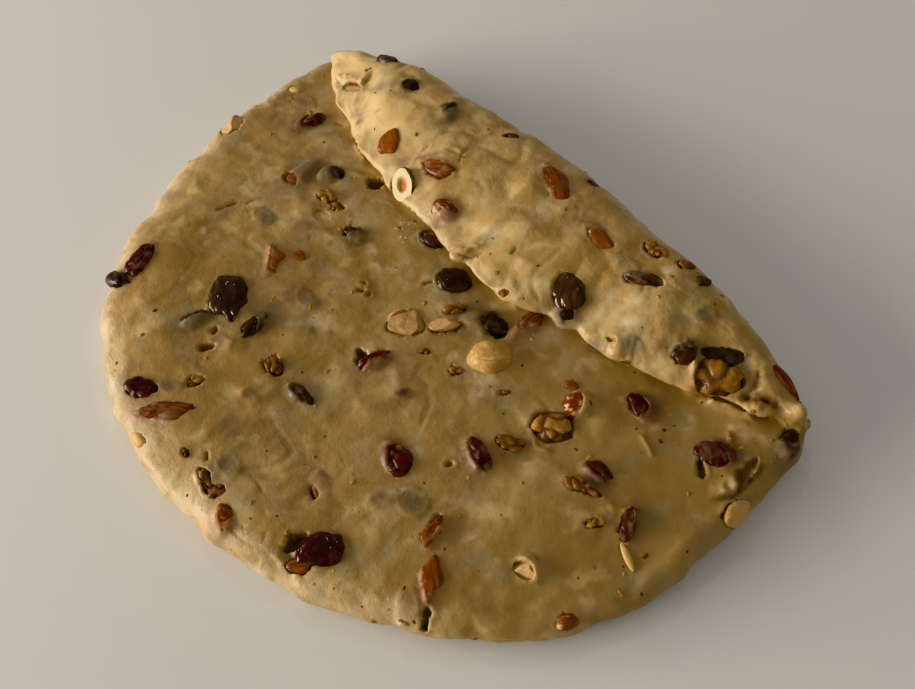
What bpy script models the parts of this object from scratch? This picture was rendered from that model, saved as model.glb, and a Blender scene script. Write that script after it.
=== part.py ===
"""Unbaked stollen: a round sheet of fruit dough, one side folded once over the rest.

The sheet lies flat with its fold along X and the folded side towards +Y.  Fruit and
nuts that break the skin of the dough sit in pockets cut a hair larger than they are.
Run with: blender --background --python part.py
"""
import math

import bmesh
import bpy
from mathutils import Matrix, Vector
from mathutils.bvhtree import BVHTree

MM = 0.001

# Driving dimensions of the dough
SHEET_RADIUS = 132 * MM
SHEET_THICKNESS = 13.5 * MM
RIM_ROUNDING = 6.3 * MM
RIM_SEGMENTS = 56
FOLD_OFFSET = 54.5 * MM      # sheet's centre to the start of the fold, at the fold's middle
FOLD_MIDDLE = 10 * MM        # along X
FOLD_BOW = 16 * MM           # how far the fold runs back towards its two ends
FOLD_REACH = 120 * MM        # half the fold's length, where the whole bow is reached
SLIT = 0.6 * MM              # between the folded layers
GRID = 20 * MM               # spacing of the sheet's facets
BEND_ROWS = 6                # rows of facets round the bend
EDGE_FALL = 1.6 * MM         # how much lower the sheet's skin is at its edge
FLAP_FALL = 7.5 * MM         # the same for the side folded over it
FALL_REACH = 28 * MM         # how far in from the edge the skin begins to fall
SWELL = 0.9 * MM             # height of the soft unevenness of the skin
SWELL_END = 75 * MM          # before the fold, where the swell and fall fade out under the flap
SWELL_FADE = 20 * MM         # length over which it fades
BEND_FADE = 8 * MM           # the same, where it begins again past the start of the bend
WAVES = (19 * MM, 23 * MM, 11 * MM, 14 * MM)   # lengths of the swell along X and Y, twice
POCKET_MARGIN = 0.45 * MM    # a pocket's half-size over its piece's: about 0.3 mm all round
CUT_TOLERANCE = 0.03 * MM
SMALL_PIECE = 12.5 * MM      # shorter pieces than this have fewer facets
FLAT_ENOUGH = 0.004          # radians between facets that are joined into one

# The middle of the whole outline, measured from the sheet's centre
OUTLINE_MIDDLE = Vector((-1.8 * MM, -31.4 * MM, 0))

# Hand-shaped outline of the flat sheet: direction in degrees, radius in mm
OUTLINE = (
    (-170, 131), (-150, 130), (-130, 135), (-117, 134.5), (-100, 131.5), (-82, 129.5),
    (-64, 130), (-45, 131.5), (-28, 135.5), (-12, 132.5), (3, 129), (15, 132), (26, 134.5),
    (38, 128.5), (48, 127.5), (56, 128.5), (69, 123.5), (76, 125), (84, 130.5), (91, 129),
    (97, 127), (104, 128.5), (113, 128.5), (122, 130.5), (134, 131), (145, 134.5),
    (157, 140.5), (166, 138.5), (176, 133),
)

# How each kind of piece is shaped: height as a share of its width, how far it narrows
# towards its tip, how deep its lobes are and their number, how far it stands proud of the
# dough, and its colour and roughness
KINDS = {
    "cranberry": dict(height=0.80, taper=0.10, lobe=0.06, lobes=5, proud=1.8 * MM,
                      color=(0.16, 0.01, 0.02), rough=0.30),
    "raisin": dict(height=0.70, taper=0.15, lobe=0.08, lobes=4, proud=1.4 * MM,
                   color=(0.05, 0.02, 0.015), rough=0.25),
    "almond": dict(height=0.62, taper=0.42, lobe=0.0, lobes=1, proud=1.2 * MM,
                   color=(0.30, 0.09, 0.02), rough=0.45),
    "hazelnut": dict(height=0.92, taper=0.08, lobe=0.0, lobes=1, proud=3.0 * MM,
                     color=(0.62, 0.42, 0.20), rough=0.45),
    "walnut": dict(height=0.66, taper=0.12, lobe=0.16, lobes=3, proud=2.0 * MM,
                   color=(0.36, 0.20, 0.08), rough=0.50),
}

# Where each piece is pressed in, in mm from the sheet's centre, seen from above:
# x, y, heading in degrees, length, width
PLACES = {
    "cranberry": (
        (-85, -88, 120, 16, 10), (-36, -117, 31, 13, 9), (53, -104, 52, 15, 13),
        (43, -66, -8, 13, 11), (60, -45, -16, 14, 8), (8, -48, 72, 12, 8),
        (-105, 5, 82, 12, 7), (81, 10, -15, 12, 8), (90, -19, 13, 11, 7),
        (109, -25, -58, 11, 5), (110, 16, 28, 14, 11),
    ),
    "raisin": (
        (-84, -99, 14, 10, 6), (-50, -71, -35, 19, 14), (-48, -87, 78, 11, 6),
        (-32, -72, 98, 11, 6), (2, -76, 7, 12, 5), (21.5, -7.5, 36, 16, 9),
        (-1, -4, 29, 15, 12), (-44, -18, 8, 10, 7), (-75, -7, 69, 11, 7),
        (124, 38, -63, 12, 8), (-104, 46, -4, 13, 8), (-83, 40, 77, 10, 7),
        (-60, 43, -59, 11, 7), (-22, 2, 18, 12, 6), (35, 20, -37, 16, 14),
        (50, 41, 31, 15, 7), (79, 31, 66, 9, 8),
    ),
    "almond": (
        (-54, -48, -4, 9, 7), (-22, -115, 43, 16, 9), (24, -121, -17, 8, 6),
        (34, -91, -23, 10, 7), (71, -74, 105, 10, 6), (82, -83, -36, 12, 8),
        (31, 4, 93, 14, 8), (-83, -15, 97, 16, 9), (-105, 27, 20, 9, 8),
        (-66, 17, -32, 11, 10), (-42, 22, 25, 15, 8), (-4, 49, -20, 20, 11),
        (25, 43, -4, 14, 9), (107, 52, -12, 12, 8),
    ),
    "hazelnut": (
        (99, -59, 10, 10, 8), (2, -29, 41, 14, 13), (12.5, -20, 57, 11, 5),
        (33, -16, 51, 16, 16), (-126, -22, 82, 11, 9), (67, -6, 51, 11, 11),
        (128, 6, 76, 13, 9), (-46.5, 8, -46, 14, 10), (-25, 11, 3, 12, 10),
    ),
    "walnut": (
        (-14, -77, -32, 8, 6), (9.5, -12.5, 58, 10, 5.5), (-66, -16, 27, 9, 7),
        (68, -19, 37, 16, 13), (63, -34, 30, 11, 6), (90, -27, 21, 14, 5),
        (43, 54, 25, 10, 7), (93, 34, 37, 16, 13),
    ),
}


def new_collection(name):
    """Add an empty collection to the scene."""
    collection = bpy.data.collections.new(name)
    bpy.context.scene.collection.children.link(collection)
    return collection


def make_material(name, color, rough):
    """A plain Principled material."""
    material = bpy.data.materials.new(name)
    material.use_nodes = True
    shader = material.node_tree.nodes["Principled BSDF"]
    shader.inputs["Base Color"].default_value = (*color, 1)
    shader.inputs["Roughness"].default_value = rough
    shader.inputs["Metallic"].default_value = 0
    return material


def add_object(name, bm, collection, parent, material=None):
    """Turn a bmesh into a smooth-shaded object of the given collection."""
    mesh = bpy.data.meshes.new(name)
    bm.to_mesh(mesh)
    bm.free()
    mesh.shade_smooth()
    obj = bpy.data.objects.new(name, mesh)
    obj.parent = parent
    if material:
        mesh.materials.append(material)
    collection.objects.link(obj)
    return obj


def smooth_step(low, high, value):
    """0 below low, 1 above high, and an eased change between them."""
    share = min(max((value - low) / (high - low), 0), 1)
    return share * share * (3 - 2 * share)


def outline_radius(angle):
    """Radius of the flat sheet in a direction, eased between the outline's points."""
    degrees = math.degrees(angle)
    points = [(OUTLINE[-1][0] - 360, OUTLINE[-1][1]), *OUTLINE, (OUTLINE[0][0] + 360, OUTLINE[0][1])]
    for (start, low), (end, high) in zip(points, points[1:]):
        if start <= degrees <= end:
            return (low + (high - low) * smooth_step(start, end, degrees)) * MM
    return SHEET_RADIUS


def fold_line(x):
    """Y at which the sheet starts to bend over."""
    return FOLD_OFFSET - FOLD_BOW * ((x - FOLD_MIDDLE) / FOLD_REACH) ** 2


def bend_radius():
    """Radius of the bend at the middle of the sheet's thickness."""
    return (SHEET_THICKNESS + SLIT) / 2


def swell(x, y):
    """Soft unevenness of the skin, zero at the mean surface."""
    broad_x, broad_y, fine_x, fine_y = WAVES
    broad = math.sin(x / broad_x + 1.1) * math.cos(y / broad_y - 0.4)
    fine = math.sin(x / fine_x - y / fine_y + 2.0)
    return SWELL * (0.6 * broad + 0.4 * fine)


def fold(point):
    """Carry a point of the flat sheet to its place in the folded one."""
    x, y, z = point
    start = fold_line(x)
    centre = SHEET_THICKNESS + SLIT / 2
    bend = bend_radius()
    angle = min(max((y - start) / bend, 0), math.pi)
    radius = centre - z
    if angle == 0:
        return Vector((x, y, z))
    if angle < math.pi:
        return Vector((x, start + radius * math.sin(angle), centre - radius * math.cos(angle)))
    return Vector((x, 2 * start - y + math.pi * bend, 2 * centre - z))


def make_blank():
    """The flat sheet: a disc with a round rim and a shaped outline.

    Its rows of facets run along the fold, so the sheet is slid until the fold is straight
    while they are cut.
    """
    bm = bmesh.new()
    bmesh.ops.create_cone(bm, cap_ends=True, segments=RIM_SEGMENTS, radius1=SHEET_RADIUS,
                          radius2=SHEET_RADIUS, depth=SHEET_THICKNESS,
                          matrix=Matrix.Translation((0, 0, SHEET_THICKNESS / 2)))
    rims = [edge for edge in bm.edges
            if abs(edge.verts[0].co.z - edge.verts[1].co.z) < CUT_TOLERANCE]
    bmesh.ops.bevel(bm, geom=rims, offset=RIM_ROUNDING, segments=3, profile=0.5, affect="EDGES")

    for vert in bm.verts:
        vert.co.xy *= outline_radius(math.atan2(vert.co.y, vert.co.x)) / SHEET_RADIUS
        vert.co.y += FOLD_OFFSET - fold_line(vert.co.x)

    steps = int(SHEET_RADIUS / GRID) + 1
    row = math.pi * bend_radius() / BEND_ROWS
    cuts = [(Vector((1, 0, 0)), GRID * step) for step in range(-steps, steps + 1)]
    cuts += [(Vector((0, 1, 0)), FOLD_OFFSET - GRID * step) for step in range(1, 2 * steps)]
    cuts += [(Vector((0, 1, 0)), FOLD_OFFSET + row * step) for step in range(BEND_ROWS + 1)]
    cuts += [(Vector((0, 1, 0)), FOLD_OFFSET + row * BEND_ROWS + GRID * step) for step in (1, 2, 3)]
    for across, place in cuts:
        bmesh.ops.bisect_plane(bm, geom=bm.verts[:] + bm.edges[:] + bm.faces[:], dist=CUT_TOLERANCE,
                               plane_co=across * place, plane_no=across)
    for vert in bm.verts:
        vert.co.y -= FOLD_OFFSET - fold_line(vert.co.x)
    return bm


def make_dough(collection, parent):
    """The dough: the blank with an uneven skin, one side folded over."""
    bm = make_blank()
    for vert in bm.verts:
        x, y, z = vert.co
        start = fold_line(x)
        height = z / SHEET_THICKNESS
        lift = swell(x, y)
        inside = outline_radius(math.atan2(y, x)) - math.hypot(x, y)
        fall = 1 - smooth_step(0, FALL_REACH, inside)
        sheet_top = height * (1 - smooth_step(0, SWELL_FADE, y - start + SWELL_END))
        flap_top = (1 - height) * smooth_step(0, BEND_FADE, y - start)
        flap_fall = (1 - height) * smooth_step(0, math.pi * bend_radius(), y - start)
        vert.co.z += lift * (sheet_top - flap_top)
        vert.co.z += fall * (FLAP_FALL * flap_fall - EDGE_FALL * sheet_top)
        vert.co = fold(vert.co)
    bmesh.ops.dissolve_limit(bm, angle_limit=FLAT_ENOUGH, verts=bm.verts, edges=bm.edges)
    bmesh.ops.triangulate(bm, faces=bm.faces)
    bmesh.ops.recalc_face_normals(bm, faces=bm.faces)
    material = make_material("dough", (0.62, 0.43, 0.20), 0.45)
    return add_object("dough", bm, collection, parent, material)


def piece_shape(kind, length, width, grow=0.0):
    """A fruit or nut lying along X, its middle at the origin, grown all round by a margin."""
    detail = 0 if length < SMALL_PIECE else 1
    bm = bmesh.new()
    bmesh.ops.create_uvsphere(bm, u_segments=6 + 2 * detail, v_segments=4 + detail, radius=0.5,
                              matrix=Matrix.Rotation(math.pi / 2, 4, "Y"))
    size = Vector((length, width, width * kind["height"])) + Vector((grow, grow, grow)) * 2
    for vert in bm.verts:
        along = vert.co.x * 2
        around = math.atan2(vert.co.z, vert.co.y)
        narrow = 1 - kind["taper"] * (along + 1) / 2
        lobed = 1 + kind["lobe"] * math.cos(kind["lobes"] * around + 2 * along)
        girth = narrow * lobed
        vert.co = Vector((vert.co.x * size.x, vert.co.y * size.y * girth, vert.co.z * size.z * girth))
    bmesh.ops.triangulate(bm, faces=bm.faces)
    bmesh.ops.recalc_face_normals(bm, faces=bm.faces)
    return bm


def resting_frame(skin, kind, place):
    """Where a piece pressed in from above comes to lie: on the skin, square to it."""
    x, y, heading, _, width = place
    point, normal, _, _ = skin.ray_cast(Vector((x * MM, y * MM, 0.1)), Vector((0, 0, -1)))
    along = Vector((math.cos(math.radians(heading)), math.sin(math.radians(heading)), 0))
    along = (along - normal * along.dot(normal)).normalized()
    across = normal.cross(along)
    centre = point + normal * (kind["proud"] - width * MM * kind["height"] / 2)
    frame = Matrix((along, across, normal)).transposed().to_4x4()
    frame.translation = centre
    return frame


def make_pieces(dough, collection, cutters, parent):
    """Set every fruit and nut, and a cutter for its pocket, in the dough."""
    whole = bmesh.new()
    whole.from_mesh(dough.data)
    skin = BVHTree.FromBMesh(whole)
    whole.free()
    for name, places in PLACES.items():
        kind = KINDS[name]
        material = make_material(name, kind["color"], kind["rough"])
        for number, place in enumerate(places, start=1):
            length, width = place[3] * MM, place[4] * MM
            frame = resting_frame(skin, kind, place)
            shape = piece_shape(kind, length, width)
            piece = add_object(f"{name}_{number:02d}", shape, collection, parent, material)
            piece.matrix_local = frame
            room = piece_shape(kind, length, width, POCKET_MARGIN)
            cutter = add_object(f"pocket_{name}_{number:02d}", room, cutters, parent)
            cutter.matrix_local = frame
            cutter.hide_render = True
            cutter.display_type = "WIRE"


def build():
    """Build the whole loaf."""
    for obj in list(bpy.data.objects):
        bpy.data.objects.remove(obj, do_unlink=True)
    loaf = new_collection("stollen")
    cutters = new_collection("stollen_cutters")
    origin = bpy.data.objects.new("stollen_origin", None)
    origin.location = -OUTLINE_MIDDLE
    loaf.objects.link(origin)

    dough = make_dough(loaf, origin)
    make_pieces(dough, loaf, cutters, origin)
    pockets = dough.modifiers.new("pockets", "BOOLEAN")
    pockets.operation = "DIFFERENCE"
    pockets.solver = "EXACT"
    pockets.operand_type = "COLLECTION"
    pockets.collection = cutters


build()
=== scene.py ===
import itertools
import math

import bmesh
import bpy
import numpy as np
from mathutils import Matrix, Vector
from mathutils.bvhtree import BVHTree
from mathutils.geometry import delaunay_2d_cdt


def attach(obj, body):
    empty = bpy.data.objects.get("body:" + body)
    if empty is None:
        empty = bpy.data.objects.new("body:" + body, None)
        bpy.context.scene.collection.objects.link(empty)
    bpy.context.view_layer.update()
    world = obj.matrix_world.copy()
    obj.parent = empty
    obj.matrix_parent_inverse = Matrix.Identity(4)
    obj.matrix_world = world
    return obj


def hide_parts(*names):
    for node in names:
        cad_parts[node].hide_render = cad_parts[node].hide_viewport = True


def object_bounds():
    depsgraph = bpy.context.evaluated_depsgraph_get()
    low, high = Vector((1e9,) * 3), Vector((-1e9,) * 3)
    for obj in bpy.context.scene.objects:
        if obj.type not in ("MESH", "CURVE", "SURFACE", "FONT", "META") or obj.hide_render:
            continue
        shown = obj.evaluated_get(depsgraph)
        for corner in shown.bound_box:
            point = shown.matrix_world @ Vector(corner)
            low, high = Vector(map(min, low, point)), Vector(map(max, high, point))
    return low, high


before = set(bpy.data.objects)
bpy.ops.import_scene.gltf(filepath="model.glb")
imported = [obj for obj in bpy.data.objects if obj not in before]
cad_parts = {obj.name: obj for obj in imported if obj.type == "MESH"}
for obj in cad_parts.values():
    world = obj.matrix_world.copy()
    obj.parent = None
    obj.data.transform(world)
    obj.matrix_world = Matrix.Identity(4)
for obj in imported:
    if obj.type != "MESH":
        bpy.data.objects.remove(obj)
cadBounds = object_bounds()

# An unbaked stollen: a round sheet of fruit dough with one side folded over it.
# Shapes are worked out in millimetres from the middle of the flat sheet, and only
# turned into metres, in the frame's own place, when a mesh is made.

mm = 0.001
piHalf = math.pi / 2


# the sheet and its fold
sheet = dict(
    thick=13.5, slit=0.6,                                # dough, and the gap between its layers
    foldAt=54.5, foldMid=10, foldBow=16, foldReach=120,  # where it bends, as a bowed line
    rim=6.6,                                             # how far in the round of the rim goes
    edgeFall=1.6, flapFall=7.5, fallReach=28,            # how its edge and the flap's get thinner
    offset=(1.8, 31.4),                                  # loaf's middle to the flat sheet's middle
    swell=0.9, waves=(19, 23, 11, 14),                   # the soft unevenness it was packed with
)
bend = (sheet["thick"] + sheet["slit"]) / 2
axis = sheet["thick"] + sheet["slit"] / 2                # height of the line it bends about
rimArc = piHalf * math.sqrt((sheet["rim"] ** 2 + (sheet["thick"] / 2) ** 2) / 2)
innerBend, outerBend = math.pi * bend, math.pi * axis    # along the bend: sheet's middle, and outside
stretch = outerBend / innerBend                          # of the outer skin round the bend

boxLow, boxHigh = (np.array(corner) / mm for corner in cadBounds)
boxMiddle = (boxLow + boxHigh) / 2
middle = np.array([boxMiddle[0] + sheet["offset"][0], boxMiddle[1] + sheet["offset"][1], 0])


def nodePoints(name):
    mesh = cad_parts[name].data
    flat = np.empty(len(mesh.vertices) * 3)
    mesh.vertices.foreach_get("co", flat)
    return flat.reshape(-1, 3) / mm - middle


def ease(low, high, value):
    share = np.clip((value - low) / (high - low), 0, 1)
    return share * share * (3 - 2 * share)


def noise(points, size, seed=0.0):
    # soft gradient noise, about -1 to 1, with lumps about as large as size
    scaled = points / size + 31.7
    base = np.floor(scaled)
    part = scaled - base
    fade = part ** 3 * (part * (part * 6 - 15) + 10)
    mixing = np.array([[127.1, 269.5, 113.5], [311.7, 183.3, 271.9], [74.7, 246.1, 124.6]])
    total = np.zeros(len(points))
    for corner in itertools.product((0, 1), repeat=3):
        slope = np.sin((base + corner) @ mixing + seed * 7.31) * 43758.5453
        slope = (slope - np.floor(slope)) * 2 - 1
        weight = np.prod(np.where(corner, fade, 1 - fade), axis=1)
        total += weight * np.sum(slope * (part - corner), axis=1)
    return total * 1.7


def foldLine(x):
    return sheet["foldAt"] - sheet["foldBow"] * ((x - sheet["foldMid"]) / sheet["foldReach"]) ** 2


def pastFold(places):
    return places[:, 1] - foldLine(places[:, 0])


def angleOf(places):
    return np.arctan2(places[:, 1], places[:, 0])


def polar(reach, angle):
    return np.stack([reach * np.cos(angle), reach * np.sin(angle)], axis=1)


def wayOf(degrees):
    return np.array([math.cos(math.radians(degrees)), math.sin(math.radians(degrees))])


def insideEdge(places):
    # how far a place on the flat sheet is from its edge
    return edgeRadius(angleOf(places)) - np.hypot(places[:, 0], places[:, 1])


def insideSkin(places):
    # the same for a place on the unrolled skin, which has the round of the rim laid flat
    return insideEdge(places) - sheet["rim"] + rimArc


def thinning(flat):
    # how far the sheet's top, and the flap's outside, come in toward the edge
    past = pastFold(flat)
    fall = 1 - ease(0, sheet["fallReach"], insideEdge(flat))
    top = sheet["edgeFall"] * fall * (1 - ease(-75, -55, past))
    return top, sheet["flapFall"] * fall * ease(0, innerBend, past)


def foldOver(flat):
    top, outside = thinning(flat)
    start = foldLine(flat[:, 0])
    angle = np.clip((flat[:, 1] - start) / bend, 0, math.pi)
    radius = axis - outside - flat[:, 2] * (1 - (top + outside) / sheet["thick"])
    y = np.where(angle > 0, start + radius * np.sin(angle), flat[:, 1])
    y = np.where(angle >= math.pi, 2 * start - flat[:, 1] + innerBend, y)
    return np.stack([flat[:, 0], y, axis - radius * np.cos(angle)], axis=1)


def flatten(points):
    start = foldLine(points[:, 0])
    out, up = points[:, 1] - start, axis - points[:, 2]
    bent = start + np.arctan2(np.maximum(out, 0), up) * bend
    y = np.where(out > 0, bent, np.where(up > 0, points[:, 1], 2 * start - points[:, 1] + innerBend))
    z = axis - np.where(out > 0, np.hypot(out, up), np.abs(up))
    return np.stack([points[:, 0], y, z], axis=1)


def unfold(points):
    flat = flatten(points)
    top, outside = thinning(flat)
    flat[:, 2] = (flat[:, 2] - outside) / (1 - (top + outside) / sheet["thick"])
    return flat


def readOutline():
    # the flat sheet's edge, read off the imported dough: largest radius near each direction
    flat = flatten(nodePoints("dough"))
    radius = np.hypot(flat[:, 0], flat[:, 1])
    side = (np.abs(flat[:, 2] - sheet["thick"] / 2) < 3) & (radius > 0.9 * np.percentile(radius, 95))
    angle = np.degrees(np.arctan2(flat[side, 1], flat[side, 0]))
    directions = np.arange(360.0)
    apart = np.abs((directions[:, None] - angle[None, :] + 180) % 360 - 180)
    edge = np.where(apart < 5, radius[side][None, :], 0).max(axis=1)
    wide = np.concatenate([edge[-20:], edge, edge[:20]])
    bell = np.exp(-0.5 * (np.arange(-12, 13) / 4) ** 2)
    return np.convolve(wide, bell / bell.sum(), "same")[20:-20]


outline = readOutline()
# bumps and dents of the flap's free edge: x, how far it sticks out, and how wide it is
nicks = ((-35, -1.2, 5), (-7, 2.2, 2.6), (14, 0.8, 8), (43, 2.0, 4.5), (49, -1.4, 2.5), (91, 1.4, 3))
sheetReach = 132.0                                       # the flat sheet's usual radius


def edgeRadius(angle):
    ragged = 0.5 * np.sin(angle * 23 + 1) + 0.35 * np.sin(angle * 41 + 2) + 0.2 * np.sin(angle * 67)
    for x, grown, wide in nicks:
        nick = grown * np.exp(-((np.cos(angle) * sheetReach - x) / wide) ** 2)
        ragged = ragged + nick * (np.sin(angle) > 0)
    return np.interp(np.degrees(angle) % 360, np.arange(361), np.append(outline, outline[0])) + ragged


def layOut(spread, under):
    # from a place on the unrolled skin, rim included, to its point in the folded sheet
    angle = angleOf(spread)
    reach = np.hypot(spread[:, 0], spread[:, 1])
    flatReach = edgeRadius(angle) - sheet["rim"]
    turn = np.clip((reach - flatReach) / rimArc, 0, 1) * piHalf
    radius = np.where(turn > 0, flatReach + sheet["rim"] * np.sin(turn), reach)
    half = sheet["thick"] / 2
    z = half + np.where(under, -1, 1) * half * np.cos(turn)
    return foldOver(np.column_stack([polar(radius, angle), z]))


def unroll(points):
    # the way back: places on the unrolled skin, and whether each is on the underside
    flat = unfold(points)
    half = sheet["thick"] / 2
    angle = angleOf(flat)
    radius = np.hypot(flat[:, 0], flat[:, 1])
    flatReach = edgeRadius(angle) - sheet["rim"]
    past = np.maximum(radius - flatReach, 0) / sheet["rim"]
    turn = np.arctan2(past, np.abs(flat[:, 2] - half) / half)
    reach = np.where(past > 0, flatReach + np.minimum(turn / piHalf, 0.98) * rimArc, radius)
    return polar(reach, angle), flat[:, 2] < half


def warp(spread, under):
    # the underside's skin is stretched round the bend, so its places are spaced out there
    extra = np.clip(pastFold(spread), 0, innerBend) * (stretch - 1)
    return np.stack([spread[:, 0], spread[:, 1] + np.where(under, extra, 0)], axis=1)


def unwarp(spread, under):
    extra = np.clip(pastFold(spread), 0, outerBend) * (1 - 1 / stretch)
    return np.stack([spread[:, 0], spread[:, 1] - np.where(under, extra, 0)], axis=1)


def vertexNormals(points, faces):
    a, b, c = (points[faces[:, k]] for k in range(3))
    normal = np.cross(b - a, c - a)
    total = np.zeros_like(points)
    for k in range(3):
        np.add.at(total, faces[:, k], normal)
    return total / np.maximum(np.linalg.norm(total, axis=1, keepdims=True), 1e-9)


# how finely the skin is cut into triangles: spacings for its places, for the coarse copy and for
# the loop at the rim, and how far the grids and the cells that keep points apart reach, in mm
grain = dict(show=1.15, turned=2.6, hidden=6.0, near=0.62, lip=0.42, coarse=3.0, edge=0.8, loop=135,
             reach=150, further=25, cell=0.4, span=400, corner=(200, 180))


def hexGrid(step, seed):
    rng = np.random.default_rng(seed)
    reach = grain["reach"]
    rows = np.arange(-reach, reach + grain["further"], step * math.sqrt(3) / 2)
    columns = np.arange(-reach, reach, step)
    x, y = np.meshgrid(columns, rows)
    x = x + (np.arange(len(rows)) % 2)[:, None] * step / 2
    grid = np.stack([x.ravel(), y.ravel()], axis=1)
    return grid + rng.uniform(-0.13, 0.13, grid.shape) * step


def freeEdge():
    # along the flap's free edge: x, and how far out it lies on the sheet
    angle = np.linspace(0, math.pi, 400)
    spread = polar(edgeRadius(angle) - sheet["rim"] + rimArc, angle)
    flap = pastFold(spread) > innerBend
    line = layOut(spread[flap], np.zeros(flap.sum(), bool))
    order = np.argsort(line[:, 0])
    return line[order, 0], line[order, 1]


freeX, freeY = freeEdge()


def behindFreeEdge(spread):
    # how far a place on the sheet's top lies behind the flap's free edge, so under the flap
    return spread[:, 1] - np.interp(spread[:, 0], freeX, freeY, left=999, right=999)


def spacing(spread, under):
    # how finely a place is cut: what shows, what only shows from low down, what is hidden
    inside = insideEdge(spread) - sheet["rim"]
    past = pastFold(spread)
    step = np.full(len(spread), grain["show"])
    covered = (past > -26) & (behindFreeEdge(spread) > 4)
    flapInside = (past > 0) & (inside > 1)
    step[~under & (covered | flapInside)] = grain["hidden"]
    step[under & (past < -1)] = grain["hidden"]
    step[under & (past < -1) & (inside < 3)] = grain["turned"]
    return step


def grow(taken):
    # each marked cell marks the cells around it too
    for across in (0, 1):
        taken = taken | np.roll(taken, 1, across) | np.roll(taken, -1, across)
    return taken


def slots(places):
    return tuple(((places + grain["corner"]) / grain["cell"]).astype(int).T)


def skinLoop():
    # the loop of points at the rim, that both sides of the sheet share
    count = int(2 * math.pi * grain["loop"] / grain["edge"])
    angle = np.linspace(-math.pi, math.pi, count, endpoint=False)
    return polar(edgeRadius(angle) - sheet["rim"] + rimArc, angle)


def finePlaces(spots, under, taken):
    # places round the pieces and strokes, each in a cell of its own
    kept = []
    for label in ("lipPoints", "nearPoints"):
        for spot in spots:
            if not len(spot[label]):
                continue
            spread, below = unroll(spot[label])
            close = np.hypot(*(spread - spot["spreadAt"]).T) < max(spot["half"]) * 1.3 + 5
            spread = spread[close & (below == under)]
            spread = warp(spread, np.full(len(spread), under))
            if not len(spread):
                continue
            here = grow(taken) if label == "nearPoints" else taken
            spread = spread[~here[slots(spread)]]
            _, first = np.unique(np.stack(slots(spread)), axis=1, return_index=True)
            spread = spread[np.sort(first)]
            taken[slots(spread)] = True
            kept.append(spread)
    return kept


def cutSide(spots, under, loop):
    cells = int(grain["span"] / grain["cell"])
    taken = np.zeros((cells, cells), bool)
    kept = finePlaces(spots, under, taken)
    near = grow(grow(taken))
    for number, name in enumerate(("show", "turned", "hidden")):
        grid = hexGrid(grain[name], number + 5 * under)
        flags = np.full(len(grid), under)
        plain = unwarp(grid, flags)
        keep = (spacing(plain, flags) == grain[name]) & (insideSkin(plain) > 0.6 * grain[name])
        kept.append(grid[keep & ~near[slots(grid)]])
    body = np.concatenate(kept)
    plain = unwarp(body, np.full(len(body), under))
    body = body[insideSkin(plain) > 0.35]
    flat = np.concatenate([warp(loop, np.full(len(loop), under)), body])
    edges = [(k, (k + 1) % len(loop)) for k in range(len(loop))]
    _, _, faces, source, _, _ = delaunay_2d_cdt([Vector(place) for place in flat], edges, [], 1, 1e-7)
    order = np.array([group[0] for group in source])
    return flat, order[np.array(faces)]


def cutSkin(spots):
    # both sides of the sheet are cut separately and share the loop at the rim
    loop = skinLoop()
    count = len(loop)
    topFlat, topFaces = cutSide(spots, False, loop)
    lowFlat, lowFaces = cutSide(spots, True, loop)
    shift = len(topFlat) - count
    lowFaces = np.where(lowFaces < count, lowFaces, lowFaces + shift)[:, ::-1]
    under = np.arange(len(topFlat) + len(lowFlat) - count) >= len(topFlat)
    spread = unwarp(np.concatenate([topFlat, lowFlat[count:]]), under)
    return spread, under, np.concatenate([topFaces, lowFaces]), len(topFaces)


def swell(flat):
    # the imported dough's own unevenness
    broadX, broadY, fineX, fineY = sheet["waves"]
    x, y = flat[:, 0], flat[:, 1]
    broad = np.sin(x / broadX + 1.1) * np.cos(y / broadY - 0.4)
    fine = np.sin(x / fineX - y / fineY + 2.0)
    return sheet["swell"] * (0.6 * broad + 0.4 * fine)


def plainSkin():
    # a coarse copy of the skin, to find where and how a piece lies on it
    grid = hexGrid(grain["coarse"], 9)
    parts, faces, total = [], [], 0
    for under in (False, True):
        flags = np.full(len(grid), under)
        plain = unwarp(grid, flags)
        inside = insideSkin(plain) > 0
        flat = grid[inside]
        _, _, cut, _, _, _ = delaunay_2d_cdt([Vector(place) for place in flat], [], [], 0, 1e-7)
        cut = np.array(cut)
        short = np.linalg.norm(flat[cut] - flat[np.roll(cut, 1, axis=1)], axis=2).max(axis=1) < 9
        parts.append(layOut(plain[inside], flags[inside]))
        faces.append((cut[short, ::-1] if under else cut[short]) + total)
        total += len(flat)
    return BVHTree.FromPolygons([Vector(point) for point in np.concatenate(parts)],
                                np.concatenate(faces).tolist())


skin = plainSkin()
print("dough: outline", outline.min().round(1), "to", outline.max().round(1), "mm")


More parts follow.
